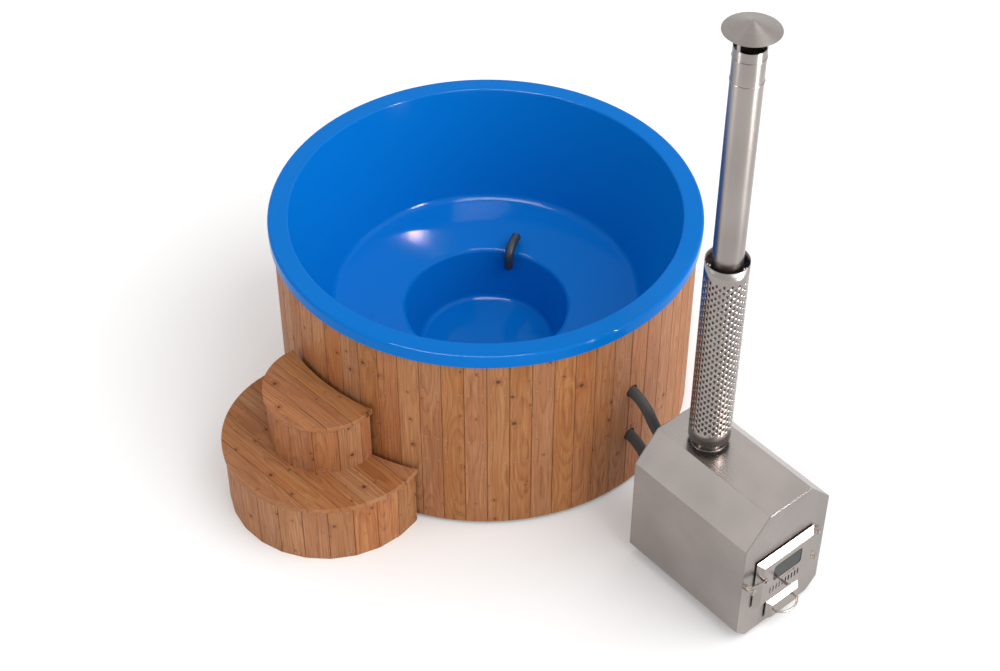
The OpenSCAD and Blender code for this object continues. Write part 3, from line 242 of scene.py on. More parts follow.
def planed_pine(name, place, pine, late_wood, knot_colour):
    """Heat-treated pine, planed and oiled: warm brown early wood with darker late wood in arches,
    each board its own tone, dark knots with a reddish halo, and a dull sheen."""
    made, n, shader = material(name, pine, IOR=1.5, Specular_IOR_Level=0.25)
    number, across, along, into = board_space(n, place)
    chance = n("TexWhiteNoise", {"W": number}, noise_dimensions="1D")
    one, two, three = n("SeparateColor", {0: chance.outputs["Color"]}).outputs

    # Each board starts somewhere along a 9 m log, and the steps keep its noise and its knots apart
    # from those of the next board
    log_length, noise_step, knot_step = 9.0, 3.17, 5.3
    along = n("Math", {0: one, 1: log_length, 2: along}, operation="MULTIPLY_ADD")

    def grain(wide, long, detail=2.0):
        """Noise with features of that many millimetres across and along the board."""
        deep = n("Math", {0: into, 1: wide * MM}, operation="DIVIDE")
        return n("TexNoise", {
            "Vector": n("CombineXYZ", {
                0: n("Math", {0: across, 1: wide * MM}, operation="DIVIDE"),
                1: n("Math", {0: along, 1: long * MM}, operation="DIVIDE"),
                2: n("Math", {0: number, 1: noise_step, 2: deep}, operation="MULTIPLY_ADD"),
            }),
            "Scale": 1.0, "Detail": detail, "Roughness": 0.55,
        })

    # Knots 6 to 26 mm across, small ones more often, at most one to each stretch of 95 by 115 mm,
    # and none in an eighth of the stretches
    stretch = (95 * MM, 115 * MM, 1.0)
    least_radius, more_radius, rarity, bare = 3.2 * MM, 10 * MM, 4.0, 0.12
    ragged_edge = 4 * MM
    aside = n("Math", {0: number, 1: knot_step}, operation="MULTIPLY")
    cell = n("CombineXYZ", {
        0: n("Math", {0: across, 1: 1 / stretch[0], 2: aside}, operation="MULTIPLY_ADD"),
        1: n("Math", {0: along, 1: 1 / stretch[1]}, operation="MULTIPLY"),
    })
    nearest = n("TexVoronoi", {"Vector": cell, "Scale": 1.0}, voronoi_dimensions="2D")
    offset = n("VectorMath", {0: cell, 1: nearest.outputs["Position"]}, operation="SUBTRACT")
    offset = n("VectorMath", {0: offset, 1: stretch}, operation="MULTIPLY")
    distance = n("VectorMath", {0: offset}, operation="LENGTH")
    distance = n("Math", {0: grain(9, 14), 1: ragged_edge, 2: distance}, operation="MULTIPLY_ADD")
    size_chance, here, _ = n("SeparateColor", {0: nearest.outputs["Color"]}).outputs
    swell = n("Math", {0: size_chance, 1: rarity}, operation="POWER")
    radius = n("Math", {0: swell, 1: more_radius, 2: least_radius}, operation="MULTIPLY_ADD")
    present = n("Math", {0: here, 1: bare}, operation="GREATER_THAN")
    near_knot = n("Math", {0: distance, 1: radius}, operation="DIVIDE")

    def fade(outer, inner):
        """1 by a knot and 0 away from it, between two distances in knot radii."""
        soft = n("MapRange", {"Value": near_knot, 1: outer, 2: inner, 3: 0.0, 4: 1.0},
                 interpolation_type="SMOOTHSTEP")
        return n("Math", {0: soft, 1: present}, operation="MULTIPLY")

    knot, halo = fade(1.15, 0.75), fade(3.4, 0.9)

    # Growth rings round a pith that runs behind the face, up to 55 mm aside, at a depth that drifts
    # along the board. The real rings are 3 mm apart, and they are drawn 8 mm apart, so that they
    # show from 9 m away. They bend round a knot.
    ring, pith_aside = 8 * MM, 110 * MM
    pith_depth, depth_range, depth_drift, ring_waver = 12 * MM, 40 * MM, 90 * MM, 9 * MM
    knot_bend = 0.8
    side = n("Math", {0: two, 1: 0.5}, operation="SUBTRACT")
    side = n("Math", {0: side, 1: -pith_aside, 2: across}, operation="MULTIPLY_ADD")
    depth = n("Math", {0: three, 1: depth_range, 2: pith_depth}, operation="MULTIPLY_ADD")
    depth = n("Math", {0: grain(400, 700, 1.0), 1: depth_drift, 2: depth}, operation="MULTIPLY_ADD")
    depth = n("Math", {0: depth, 1: into}, operation="ADD")
    from_pith = n("VectorMath", {0: n("CombineXYZ", {0: side, 1: depth})}, operation="LENGTH")
    wander = n("Math", {0: grain(30, 160), 1: ring_waver, 2: from_pith}, operation="MULTIPLY_ADD")
    phase = n("Math", {0: wander, 1: ring}, operation="DIVIDE")
    phase = n("Math", {0: halo, 1: knot_bend, 2: phase}, operation="MULTIPLY_ADD")
    late = n("ValToRGB", {0: n("Math", {0: phase}, operation="FRACT")},
             stops=((0.0, 0.0), (0.45, 0.12), (0.86, 1.0), (1.0, 0.0)))
    # Fibres are finer than a pixel from 9 m away, so they are drawn 2 mm wide
    fibre = grain(2.0, 100, 3.0)
    streak = grain(11, 380)
    patch = n("MapRange", {"Value": grain(70, 420), 1: 0.42, 2: 0.68, 3: 0.0, 4: 1.0},
              interpolation_type="SMOOTHSTEP")

    def stain(wood, where, strength, shade):
        """Works a darker colour into the wood."""
        share = n("Math", {0: where, 1: strength}, operation="MULTIPLY")
        return n("Mix", {0: share, 1: wood, 2: (*shade, 1)}, data_type="RGBA")

    # How much of the late wood's colour rings, fibres and streaks each bring, less the even part
    by_ring, by_fibre, by_streak, even_part = 0.36, 1.5, 1.2, 1.08
    shade = n("Math", {0: late, 1: by_ring}, operation="MULTIPLY")
    shade = n("Math", {0: fibre, 1: by_fibre, 2: shade}, operation="MULTIPLY_ADD")
    shade = n("Math", {0: streak, 1: by_streak, 2: shade}, operation="MULTIPLY_ADD")
    shade = n("Math", {0: shade, 1: even_part}, operation="SUBTRACT", use_clamp=True)
    wood = n("Mix", {0: shade, 1: (*pine, 1), 2: (*late_wood, 1)}, data_type="RGBA")
    wood = stain(wood, patch, 0.42, linear("#935529"))
    wood = n("HueSaturation", {
        "Hue": n("Math", {0: two, 1: 0.008, 2: 0.496}, operation="MULTIPLY_ADD"),
        "Saturation": n("Math", {0: three, 1: 0.10, 2: 0.95}, operation="MULTIPLY_ADD"),
        "Value": n("Math", {0: one, 1: 0.15, 2: 0.92}, operation="MULTIPLY_ADD"),
        "Color": wood,
    })
    wood = stain(wood, halo, 0.4, linear("#7d4424"))
    wood = stain(wood, knot, 0.92, knot_colour)
    # Dust and painted shade in the groove between two boards: darker towards its floor, up to 1.4 mm
    # above it
    floor, clear_of_dust_and_shade = place["groove"], place["groove"] + 1.4 * MM
    dust_and_shade = n("MapRange", {"Value": into, 1: floor, 2: clear_of_dust_and_shade, 3: 0.3, 4: 1.0})
    wood = n("Mix", {0: 1.0, 1: wood, 2: dust_and_shade}, data_type="RGBA", blend_type="MULTIPLY")
    plug(shader, "Base Color", wood)

    ridge = n("Math", {0: late, 1: 0.4}, operation="MULTIPLY")
    rise = n("Math", {0: fibre, 1: 0.6, 2: ridge}, operation="MULTIPLY_ADD")
    plug(shader, "Normal", n("Bump", {"Height": rise, "Strength": 0.35, "Distance": 0.8 * MM}))
    plug(shader, "Roughness", n("Math", {0: fibre, 1: 0.3, 2: 0.42}, operation="MULTIPLY_ADD"))
    return made


def sawn_timber(name):
    """Spruce, sawn and left bare: pale and dull, with coarse saw marks along its length."""
    made, n, shader = material(name, "#c6a87e", Roughness=0.8)
    spot = n("TexCoord").outputs["Object"]
    # Marks in a metre: one each 8 mm from side to side and one each 110 mm upwards
    in_a_metre = (120, 120, 9)
    stretched = n("Mapping", {"Vector": spot, "Scale": in_a_metre})
    marks = n("TexNoise", {"Vector": stretched, "Scale": 1.0})
    shades = ((LOW, linear("#a98a62")), (HIGH, linear("#cfb28a")))
    plug(shader, "Base Color", n("ValToRGB", {0: marks}, stops=shades))
    plug(shader, "Normal", n("Bump", {"Height": marks, "Strength": 0.4, "Distance": 1 * MM}))
    return made


def polished_gelcoat(name, shade):
    """Polyester gelcoat from a polished mould: deep even colour and sharp reflections, with the
    slow waves of a laid-up shell in them."""
    made, n, shader = material(name, shade, IOR=1.5, Specular_IOR_Level=0.05)
    spot = n("TexCoord").outputs["Object"]
    wave_length, haze_length = 90 * MM, 240 * MM
    waves = n("TexNoise", {"Vector": spot, "Scale": 1 / wave_length, "Detail": 1.0})
    plug(shader, "Normal", n("Bump", {"Height": waves, "Strength": 0.08, "Distance": 0.5 * MM}))
    haze = n("TexNoise", {"Vector": spot, "Scale": 1 / haze_length, "Detail": 3.0})
    plug(shader, "Roughness", n("MapRange", {"Value": haze, 1: LOW, 2: HIGH, 3: 0.05, 4: 0.09}))
    return made


def brushed_steel(name, shade, marks_mm, roughness=0.26, bump=0.05, anisotropic=0.3, turned=False):
    """Stainless steel, brushed, drawn, ground or rolled: warm grey, with soft reflections drawn out
    across the marks. Marks_mm gives their length along X, Y and Z. Real ones are 0.2 mm wide. On
    sheet they are drawn 2.5 or 3 mm wide and on small pieces 9 mm, so that they show from 9 m away.
    A turned piece was brushed round its upright axis, which draws its reflections out along it."""
    made, n, shader = material(name, shade, Metallic=1.0, Anisotropic=anisotropic)
    if turned:
        shader.inputs["Anisotropic Rotation"].default_value = 0.25
        plug(shader, "Tangent", n("Tangent", direction_type="RADIAL", axis="Z"))
    spot = n("TexCoord").outputs["Object"]
    scale = tuple(1 / (length * MM) for length in marks_mm)
    stretched = n("Mapping", {"Vector": spot, "Scale": scale})
    marks = n("TexNoise", {"Vector": stretched, "Scale": 1.0, "Detail": 3.0})
    # Rolled sheet is a little cloudy
    cloud_length = 300 * MM
    cloud = n("TexNoise", {"Vector": spot, "Scale": 1 / cloud_length, "Detail": 2.0})
    tone = n("Math", {0: cloud, 1: 0.5, 2: 0.67}, operation="MULTIPLY_ADD")
    tone = n("Math", {0: marks, 1: 0.16, 2: tone}, operation="MULTIPLY_ADD")
    steel = n("Mix", {0: 1.0, 1: (*shade, 1), 2: tone}, data_type="RGBA", blend_type="MULTIPLY")
    rough = n("Math", {0: marks, 1: 0.10, 2: roughness - 0.05}, operation="MULTIPLY_ADD")
    plug(shader, "Base Color", steel)
    plug(shader, "Roughness", rough)
    plug(shader, "Normal", n("Bump", {"Height": marks, "Strength": bump, "Distance": 0.3 * MM}))
    return made


def speckled(name, base, spot_mm, contrast, roughness, metallic=0.0):
    """A moulded, cast or painted surface: one colour, with a fine uneven grain of that many
    millimetres in its shade and its gloss."""
    made, n, shader = material(name, base, Metallic=metallic)
    spot = n("TexCoord").outputs["Object"]
    grain = n("TexNoise", {"Vector": spot, "Scale": 1 / (spot_mm * MM), "Detail": 3.0})
    tone = n("MapRange", {"Value": grain, 1: LOW, 2: HIGH, 3: 1 - contrast, 4: 1 + contrast})
    own = shader.inputs["Base Color"].default_value[:]
    shade = n("Mix", {0: 1.0, 1: own, 2: tone}, data_type="RGBA", blend_type="MULTIPLY")
    gloss = {"Value": grain, 1: LOW, 2: HIGH, 3: roughness * 0.85, 4: roughness * 1.15}
    plug(shader, "Base Color", shade)
    plug(shader, "Normal", n("Bump", {"Height": grain, "Strength": 0.15,
                                      "Distance": spot_mm * MM / 8}))
    plug(shader, "Roughness", n("MapRange", gloss))
    return made


def twisted_rope(name):
    """Glass-fibre rope, twisted and pressed flat: pale grey strands 3 mm apart on the slant."""
    made, n, shader = material(name, "#6f6c66", Roughness=0.9)
    # A wave texture of scale 1 has its bands tau / 20 of a metre apart
    band, strand, slant = math.tau / 20, 3 * MM, 0.8
    spot = n("TexCoord").outputs["Object"]
    strands = n("TexWave", {
        "Vector": n("Mapping", {"Vector": spot, "Rotation": (0, slant, 0)}),
        "Scale": band / strand, "Distortion": 1.0,
    })
    shades = ((0.0, linear("#4e4b46")), (1.0, linear("#85817a")))
    plug(shader, "Base Color", n("ValToRGB", {0: strands}, stops=shades))
    plug(shader, "Normal", n("Bump", {"Height": strands, "Strength": 0.5, "Distance": 1 * MM}))
    return made


def stove_glass(name):
    """Glass ceramic, rolled and smoked: nearly black, with clear reflections and a light film of
    soot."""
    made, n, shader = material(name, "#1c1d1e", IOR=1.54, Specular_IOR_Level=0.2,
                               Transmission_Weight=0.35)
    spot = n("TexCoord").outputs["Object"]
    film_length = 60 * MM
    soot = n("TexNoise", {"Vector": spot, "Scale": 1 / film_length, "Detail": 4.0})
    shades = ((LOW, linear("#161718")), (0.75, linear("#2a2a27")))
    plug(shader, "Base Color", n("ValToRGB", {0: soot}, stops=shades))
    plug(shader, "Roughness", n("MapRange", {"Value": soot, 1: LOW, 2: HIGH, 3: 0.05, 4: 0.14}))
    return made


def nail_steel():
    """Stainless nails, stamped: small bright heads, a little dulled by weather."""
    name = "stainless_nail_stamped"
    return bpy.data.materials.get(name) or speckled(name, "#9a8f85", 2, 0.2, 0.45, metallic=0.8)


# Pieces


def paint(made, *names):
    """Gives CAD nodes a material."""
    for name in names:
        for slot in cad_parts[name].material_slots:
            slot.link = "OBJECT"
            slot.material = made


def ease(width, *names):
    """Softens the sharp edges of CAD nodes by that width."""
    for name in names:
        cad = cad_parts[name]
        weld = cad.modifiers.new("weld", "WELD")
        weld.merge_threshold = 0.01 * MM
        bevel = cad.modifiers.new("ease", "BEVEL")
        bevel.width = width
        bevel.segments = 2
        bevel.limit_method = "ANGLE"
        bevel.angle_limit = math.radians(28)
        bevel.miter_outer = "MITER_ARC"
        bevel.harden_normals = True


def piece(name, body, made, shape, smooth=True):
    """A new object from a bmesh, riding on a body."""
    mesh = bpy.data.meshes.new(name)
    bmesh.ops.recalc_face_normals(shape, faces=shape.faces)
    shape.to_mesh(mesh)
    shape.free()
    mesh.materials.append(made)
    mesh.polygons.foreach_set("use_smooth", [smooth] * len(mesh.polygons))
    obj = bpy.data.objects.new(name, mesh)
    bpy.context.scene.collection.objects.link(obj)
    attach(obj, body)
    return obj


def nail(shape, spot, out, radius):
    """A nail's flat head, a little domed, driven flush at a spot with its face outwards."""
    sides = 10
    out = Vector(out).normalized()
    side = out.orthogonal().normalized()
    up = out.cross(side)
    rings = []
    for reach, lift in ((1.0, -0.4 * MM), (1.0, 0.15 * MM), (0.8, 0.4 * MM)):
        rings.append([
            shape.verts.new(
                spot + out * lift + radius * reach * (side * math.cos(a) + up * math.sin(a)))
            for a in (math.tau * k / sides for k in range(sides))
        ])
    for low, high in zip(rings, rings[1:]):
        for k in range(sides):
            after = (k + 1) % sides
            shape.faces.new((low[k], low[after], high[after], high[k]))
    shape.faces.new(rings[-1])


def near(spot, box, margin):
    """Whether a spot lies in a box grown by a margin, seen from the front or from the side."""
    low, high = box
    return any(
        all(low[k] - margin < spot[k] < high[k] + margin for k in axes) for axes in ((0, 2), (1, 2))
    )


class HOTTUB_OT_insert(bpy.types.Operator):
    """Finishes the moulded insert"""

    bl_idname = "hottub.insert"
    bl_label = "Moulded insert"

    def execute(self, context):
        gelcoat = context.scene.hottub_tub.gelcoat
        paint(polished_gelcoat("polyester_gelcoat_polished", gelcoat), "tub_shell")
        return {"FINISHED"}


class HOTTUB_OT_cladding(bpy.types.Operator):
    """Finishes the cladding boards and drives their nails"""

    bl_idname = "hottub.cladding"
    bl_label = "Cladding boards"

    def execute(self, context):
        tub = context.scene.hottub_tub
        pitch = math.tau / tub.board_count
        face = tub.board_radius * math.cos(pitch / 2)
        place = {"centre": (0, 0, 0), "turn": tub.board_seam, "radius": tub.board_radius,
                 "pitch": pitch, "shift": 0.0, "seed": 200, "groove": -GROOVE}
        paint(planed_pine("heat_treated_pine_cladding", place, tub.pine[:], tub.late_wood[:],
                          tub.knot[:]), "cladding_boards")

        # Two nails to a board in each row, off their row by up to 2.5 mm, as hammered by hand. None
        # is within 15 mm of a hose's hole or of the drain's.
        rows = [height * MM for height in (150, 406, 545, 835)]
        waver, hole_margin = 2.5 * MM, 15 * MM
        holes = [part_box(name) for name in ("upper_hose", "lower_hose", "drain_pipe")]
        shape = bmesh.new()
        for i in range(tub.board_count):
            middle = tub.board_seam + (i + 0.5) * pitch
            out = Vector((math.cos(middle), math.sin(middle), 0))
            beside = Vector((-out.y, out.x, 0))
            for row in rows:
                for hand in (-1, 1):
                    height = row + waver * math.sin(7.1 * i + 3.7 * hand + 40 * row)
                    spot = out * face + beside * hand * tub.nail_beside + Vector((0, 0, height))
                    if not any(near(spot, box, hole_margin) for box in holes):
                        nail(shape, spot, out, tub.nail_head / 2)
        piece("cladding_nails", ROOT, nail_steel(), shape, smooth=False)
        return {"FINISHED"}


class HOTTUB_OT_timber(bpy.types.Operator):
    """Finishes the hidden timber frame"""

    bl_idname = "hottub.timber"
    bl_label = "Timber frame"

    def execute(self, context):
        paint(sawn_timber("spruce_sawn"), "top_rail", "middle_rail", "bottom_rail", "upper_studs",
              "lower_studs", "base_bearers", "base_plate", "floor_joists", "seat_rail",
              "seat_props", "lower_step_frame", "upper_step_frame")
        return {"FINISHED"}


class HOTTUB_OT_steps(bpy.types.Operator):
    """Finishes both steps and drives their nails"""

    bl_idname = "hottub.steps"
    bl_label = "Steps"

    def execute(self, context):
        steps, tub = context.scene.hottub_steps, context.scene.hottub_tub
        wood = (tub.pine[:], tub.late_wood[:], tub.knot[:])
        turn = Matrix.Rotation(steps.direction, 4, "Z")
        centre = turn @ Vector((steps.centre, 0, 0))
        # The treads' planks meet without a groove, so theirs is put deeper than a plank is thick
        no_groove = -60 * MM
        shape = bmesh.new()
        for level, radius, side_seed, plank_seed in (
            ("lower", steps.lower_radius, 320, 400),
            ("upper", steps.upper_radius, 360, 420),
        ):
            boards, tread = level + "_step_boards", level + "_step_tread"
            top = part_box(tread)[1].z
            ring = radius - steps.tread_over
            stand = {"centre": tuple(centre), "turn": steps.direction}
            sides = dict(stand, radius=ring, pitch=steps.board_width / ring, shift=0.5,
                         groove=-GROOVE, seed=side_seed)
            planks = dict(stand, front=radius, width=steps.plank_width, top=top,
                          groove=no_groove, seed=plank_seed)
            paint(planed_pine("heat_treated_pine_sides_" + level, sides, *wood), boards)
            paint(planed_pine("heat_treated_pine_tread_" + level, planks, *wood), tread)
            ease(2.2 * MM, tread)
            self.nail_sides(shape, tub, sides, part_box(boards), turn, centre)
            self.nail_planks(shape, tub, steps, level, radius, top, turn, centre)
        piece("step_nails", ROOT, nail_steel(), shape, smooth=False)
        return {"FINISHED"}

    def off_tub(self, spot, tub):
        """Whether a spot stands at least 60 mm clear of the cladding."""
        return spot.length > tub.board_radius + 60 * MM

    def nail_sides(self, shape, tub, sides, box, turn, centre):
        """Rows of nails round the side boards, 25 mm over their foot and 22 mm under their top."""
        low, high = box
        face = sides["radius"] * math.cos(sides["pitch"] / 2)
        # More boards to each hand than the half ring has. Those that the tub stands over get none.
        most_boards = 20
        for i in range(-most_boards, most_boards + 1):
            middle = i * sides["pitch"]
            out = turn @ Vector((math.cos(middle), math.sin(middle), 0))
            beside = Vector((-out.y, out.x, 0))
            for height in (low.z + 25 * MM, high.z - 22 * MM):
                for hand in (-1, 1):
                    spot = centre + out * face + beside * hand * tub.nail_beside
                    if self.off_tub(spot, tub):
                        nail(shape, spot + Vector((0, 0, height)), out, tub.nail_head / 2)

    def nail_planks(self, shape, tub, steps, level, radius, top, turn, centre):
        """Pairs of nails at two places to each side of a plank's middle, as shares of its half
        length. None is at the tread's very front or under the step above."""
        shares, front_share, step_margin = (0.82, 0.3), 0.93, 10 * MM
        for i in range(int(2 * radius / steps.plank_width)):
            x = radius - (i + 0.5) * steps.plank_width
            for hand in (-1, 1):
                for share in shares:
                    row = x + hand * tub.nail_beside
                    if abs(row) >= front_share * radius:
                        continue
                    half = math.sqrt(radius**2 - row**2)
                    for end in (-1, 1):
                        spot = turn @ Vector((row, end * share * half, 0)) + centre
                        away = (spot - centre).length > steps.upper_radius + step_margin
                        if self.off_tub(spot, tub) and (level == "upper" or away):
                            nail(shape, spot + Vector((0, 0, top)), (0, 0, 1), tub.nail_head / 2)


class HOTTUB_OT_hoses(bpy.types.Operator):
    """Sweeps both hoses on their routes as smooth tubes"""

    bl_idname = "hottub.hoses"
    bl_label = "Hoses"

    def execute(self, context):
        hoses = context.scene.hottub_hoses
        rubber = speckled("rubber_hose_extruded", hoses.rubber[:], 9, 0.10, roughness=0.7)
        radii = (hoses.diameter / 2, hoses.diameter / 2 - hoses.wall)
        sides = 48
        angles = [math.tau * k / sides for k in range(sides)]
        for name in ("upper_hose", "lower_hose"):
            low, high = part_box(name)
            x = (low.x + high.x) / 2
            route = self.route(context.scene.hottub_tub, hoses, low, high)
            shape = bmesh.new()
            skins = [[[
                shape.verts.new((x + radius * math.cos(t),
                                 -y - radius * math.sin(t) * math.sin(a),
                                 z + radius * math.sin(t) * math.cos(a)))
                for t in angles] for y, z, a in route] for radius in radii]
            outer, inner = skins
            bands = [pair for skin in skins for pair in zip(skin, skin[1:])]
            bands += [(outer[0], inner[0]), (outer[-1], inner[-1])]
            for ring, next_ring in bands:
                for k in range(sides):
                    after = (k + 1) % sides
                    shape.faces.new((ring[k], ring[after], next_ring[after], next_ring[k]))
            hose = piece(name + "_smooth", ROOT, rubber, shape)
            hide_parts(name)
        return {"FINISHED"}

    def route(self, tub, hoses, low, high):
        """Points of a hose's middle from the tub to the stove, as distance towards the stove,
        height and slope: straight, down through two equal arcs, and straight."""
        start, end = -high.y, -low.y
        from_z, to_z = high.z - hoses.diameter / 2, low.z + hoses.diameter / 2
        bend = tub.board_radius - hoses.bend_inset
        straight = end - hoses.end_straight
        run = straight - bend
        slope = 2 * math.atan((from_z - to_z) / run)
        arc = run / 2 / math.sin(slope)
        arc_steps = 40
        slopes = [slope * i / arc_steps for i in range(arc_steps + 1)]
        route = [(start, from_z, 0.0)]
        route += [(bend + arc * math.sin(a), from_z - arc * (1 - math.cos(a)), a) for a in slopes]
        route += [(straight - arc * math.sin(a), to_z + arc * (1 - math.cos(a)), a)
                  for a in slopes[-2::-1]]
        route.append((end, to_z, 0.0))
        return route


class HOTTUB_OT_fittings(bpy.types.Operator):
    """Finishes the wall fittings, the clamps and the drain"""

    bl_idname = "hottub.fittings"
    bl_label = "Fittings and drain"

    def execute(self, context):
        steel = context.scene.hottub_stove.steel[:]
        # ABS, moulded black: even and half dull
        paint(speckled("abs_black_moulded", "#1f2124", 4, 0.12, roughness=0.42),
              "upper_wall_fitting", "lower_wall_fitting", "fitting_nuts", "fitting_grilles",
              "drain_pipe")
        paint(brushed_steel("stainless_band_rolled", steel, (9, 30, 9), roughness=0.28, bump=0.0),
              "hose_clamps", "drain_grate", "drain_ball", "grab_bar_feet")
        # Brass, cast and then turned: yellow, bright and a little grainy
        paint(speckled("brass_cast_machined", "#b5935a", 5, 0.10, roughness=0.32, metallic=1.0),
              "drain_tap")
        # Enamel paint from a dip: even red gloss
        paint(speckled("enamel_red_dipped", "#b03327", 12, 0.06, roughness=0.28), "drain_lever")
        return {"FINISHED"}


class HOTTUB_OT_grab_bar(bpy.types.Operator):
    """Finishes the grab bar"""

    bl_idname = "hottub.grab_bar"
    bl_label = "Grab bar"

    def execute(self, context):
        # A tube dipped in rubber: near black with a soft gloss
        coated = speckled("rubber_coated_tube_dipped", "#30353b", 6, 0.15, roughness=0.36)
        paint(coated, "grab_bar")
        return {"FINISHED"}


class HOTTUB_OT_stove(bpy.types.Operator):
    """Finishes the stove's body and its firebox"""

    bl_idname = "hottub.stove"
    bl_label = "Stove"

    def execute(self, context):
        stove = context.scene.hottub_stove
        steel = stove.steel[:]
        # The casing's sheet is brushed from the door to the back, and the end plates upwards
        along = brushed_steel("stainless_sheet_brushed_along", steel, (2.5, 500, 2.5))
        across = brushed_steel("stainless_sheet_brushed_across", steel, (2.5, 2.5, 500))
        paint(along, "stove_casing")
        paint(across, "stove_front", "stove_back")
        paint(brushed_steel("stainless_tube_drawn", steel, (9, 200, 9), roughness=0.28, bump=0.0),
              "stove_feet", "upper_spigot", "lower_spigot")
        ease(stove.sheet_edge, "stove_casing", "stove_front", "stove_back")
        # Steel plate that fires have burnt: dark brown, blotched and dull
        paint(speckled("steel_plate_fired", "#3f3a35", 25, 0.25, roughness=0.62, metallic=0.7),
              "firebox")
        # Cast iron from a sand mould: nearly black and grainy
        paint(speckled("cast_iron_sand_cast", "#2f2d2b", 6, 0.25, roughness=0.7, metallic=0.6),
              "fire_grate")
        return {"FINISHED"}


class HOTTUB_OT_door(bpy.types.Operator):
    """Finishes the stove's door, its window, hinges, air slide and latch"""

    bl_idname = "hottub.door"
    bl_label = "Stove door"

    def execute(self, context):
        stove = context.scene.hottub_stove
        sheet = bpy.data.materials["stainless_sheet_brushed_across"]
        paint(sheet, "door_pan", "door_liner", "glass_frame")
        ground = brushed_steel("stainless_bar_ground", stove.steel[:], (40, 9, 9), roughness=0.28,
                               bump=0.0)
        paint(ground, "hinge_lugs", "hinge_pins", "air_slide", "air_rod", "latch_bolt",
              "latch_bar", "latch_catch")
        ease(stove.sheet_edge, "hinge_lugs", "latch_bar", "latch_catch")
        paint(twisted_rope("glass_fibre_rope_twisted"), "door_gasket")
        paint(stove_glass("glass_ceramic_smoked"), "window_glass")
        return {"FINISHED"}


class HOTTUB_OT_ash_drawer(bpy.types.Operator):
    """Finishes the ash drawer and its bow handle"""

    bl_idname = "hottub.ash_drawer"
    bl_label = "Ash drawer"

    def execute(self, context):
        sheet = bpy.data.materials["stainless_sheet_brushed_across"]
        paint(sheet, "ash_drawer_front", "ash_drawer_box")
        paint(bpy.data.materials["stainless_bar_ground"], "ash_drawer_handle")
        return {"FINISHED"}


class HOTTUB_OT_chimney(bpy.types.Operator):
    """Finishes the flue, its collar and its rain cap"""

    bl_idname = "hottub.chimney"
    bl_label = "Chimney"

    def execute(self, context):
        steel = context.scene.hottub_stove.steel[:]
        # The flue's own marks are too fine to show, so only its slow change of tone is drawn
        flue = brushed_steel("stainless_pipe_turned", steel, (60, 60, 400), roughness=0.26,
                             bump=0.0, anisotropic=0.6, turned=True)
        paint(flue, "flue_collar", "lower_flue", "upper_flue")
        cap = brushed_steel("stainless_sheet_spun", steel, (60, 60, 3), roughness=0.3, bump=0.0,
                            anisotropic=0.85, turned=True)
        paint(cap, "cap_and_stays")
        return {"FINISHED"}


class HOTTUB_OT_heat_guard(bpy.types.Operator):
    """Rolls the perforated heat guard as one smooth sheet"""

    bl_idname = "hottub.heat_guard"
    bl_label = "Heat guard"

    def execute(self, context):
        chimney = context.scene.hottub_chimney
        low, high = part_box("heat_guard")
        axis = (low + high) / 2
        radius = (high.x - low.x) / 2
        columns, rows = chimney.hole_columns, chimney.hole_rows
        pitch = (high.z - low.z - 2 * chimney.plain_band) / (rows - 0.5)
        width = math.tau * radius / columns
        # A hole's circle has 16 points, four to each side of its cell
        spokes = 16
        shape = bmesh.new()

        def roll(s, z):
            """A point of the flat sheet, rolled round the axis."""
            turn = s / radius
            spot = (axis.x + radius * math.sin(turn), axis.y - radius * math.cos(turn), z)
            return shape.verts.new(spot)

        def edge(k):
            """Places round a cell's border, from the middle of its right side, in half widths."""
            step = k % spokes
            corner = spokes // 8
            if step <= corner or step > 7 * corner:
                return 1.0, (step if step <= corner else step - spokes) / corner
            if step <= 3 * corner:
                return 1 - (step - corner) / corner, 1.0
            if step <= 5 * corner:
                return -1.0, 1 - (step - 3 * corner) / corner
            return -1 + (step - 5 * corner) / corner, -1.0

        for column in range(columns):
            # Every other column starts half a pitch higher
            odd = column % 2
            start = low.z + chimney.plain_band - pitch / 2 + odd * pitch / 2
            middle = column * width
            for row in range(rows):
                z = start + (row + 0.5) * pitch
                border, bore = [], []
                for k in range(spokes):
                    across, up = edge(k)
                    border.append(roll(middle + across * width / 2, z + up * pitch / 2))
                    spoke = math.atan2(up, across)
                    bore.append(roll(middle + chimney.hole / 2 * math.cos(spoke),
                                     z + chimney.hole / 2 * math.sin(spoke)))
                for k in range(spokes):
                    after = (k + 1) % spokes
                    shape.faces.new((border[k], border[after], bore[after], bore[k]))
            # The plain ends have an edge wherever a neighbouring column's cells have one
            end = start + rows * pitch
            below = [start - k * pitch / 4 for k in range(2 * odd + 1)] + [low.z]
            above = [end + k * pitch / 4 for k in range(3 - 2 * odd)] + [high.z]
            for levels in (below[::-1], above):
                for from_z, to_z in zip(levels, levels[1:]):
                    for k in range(4):
                        left, right = (middle + (k / 2 - far) * width / 2 for far in (1, 0.5))
                        corners = ((left, from_z), (right, from_z), (right, to_z), (left, to_z))
                        shape.faces.new([roll(s, z) for s, z in corners])
        bmesh.ops.remove_doubles(shape, verts=shape.verts, dist=0.02 * MM)
        steel = brushed_steel("stainless_sheet_perforated", context.scene.hottub_stove.steel[:],
                              (2.5, 2.5, 300), roughness=0.22)
        guard = piece("heat_guard_rolled", ROOT, steel, shape)
        solid = guard.modifiers.new("sheet", "SOLIDIFY")
        solid.thickness = chimney.sheet
        solid.offset = -1
        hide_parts("heat_guard")
        return {"FINISHED"}


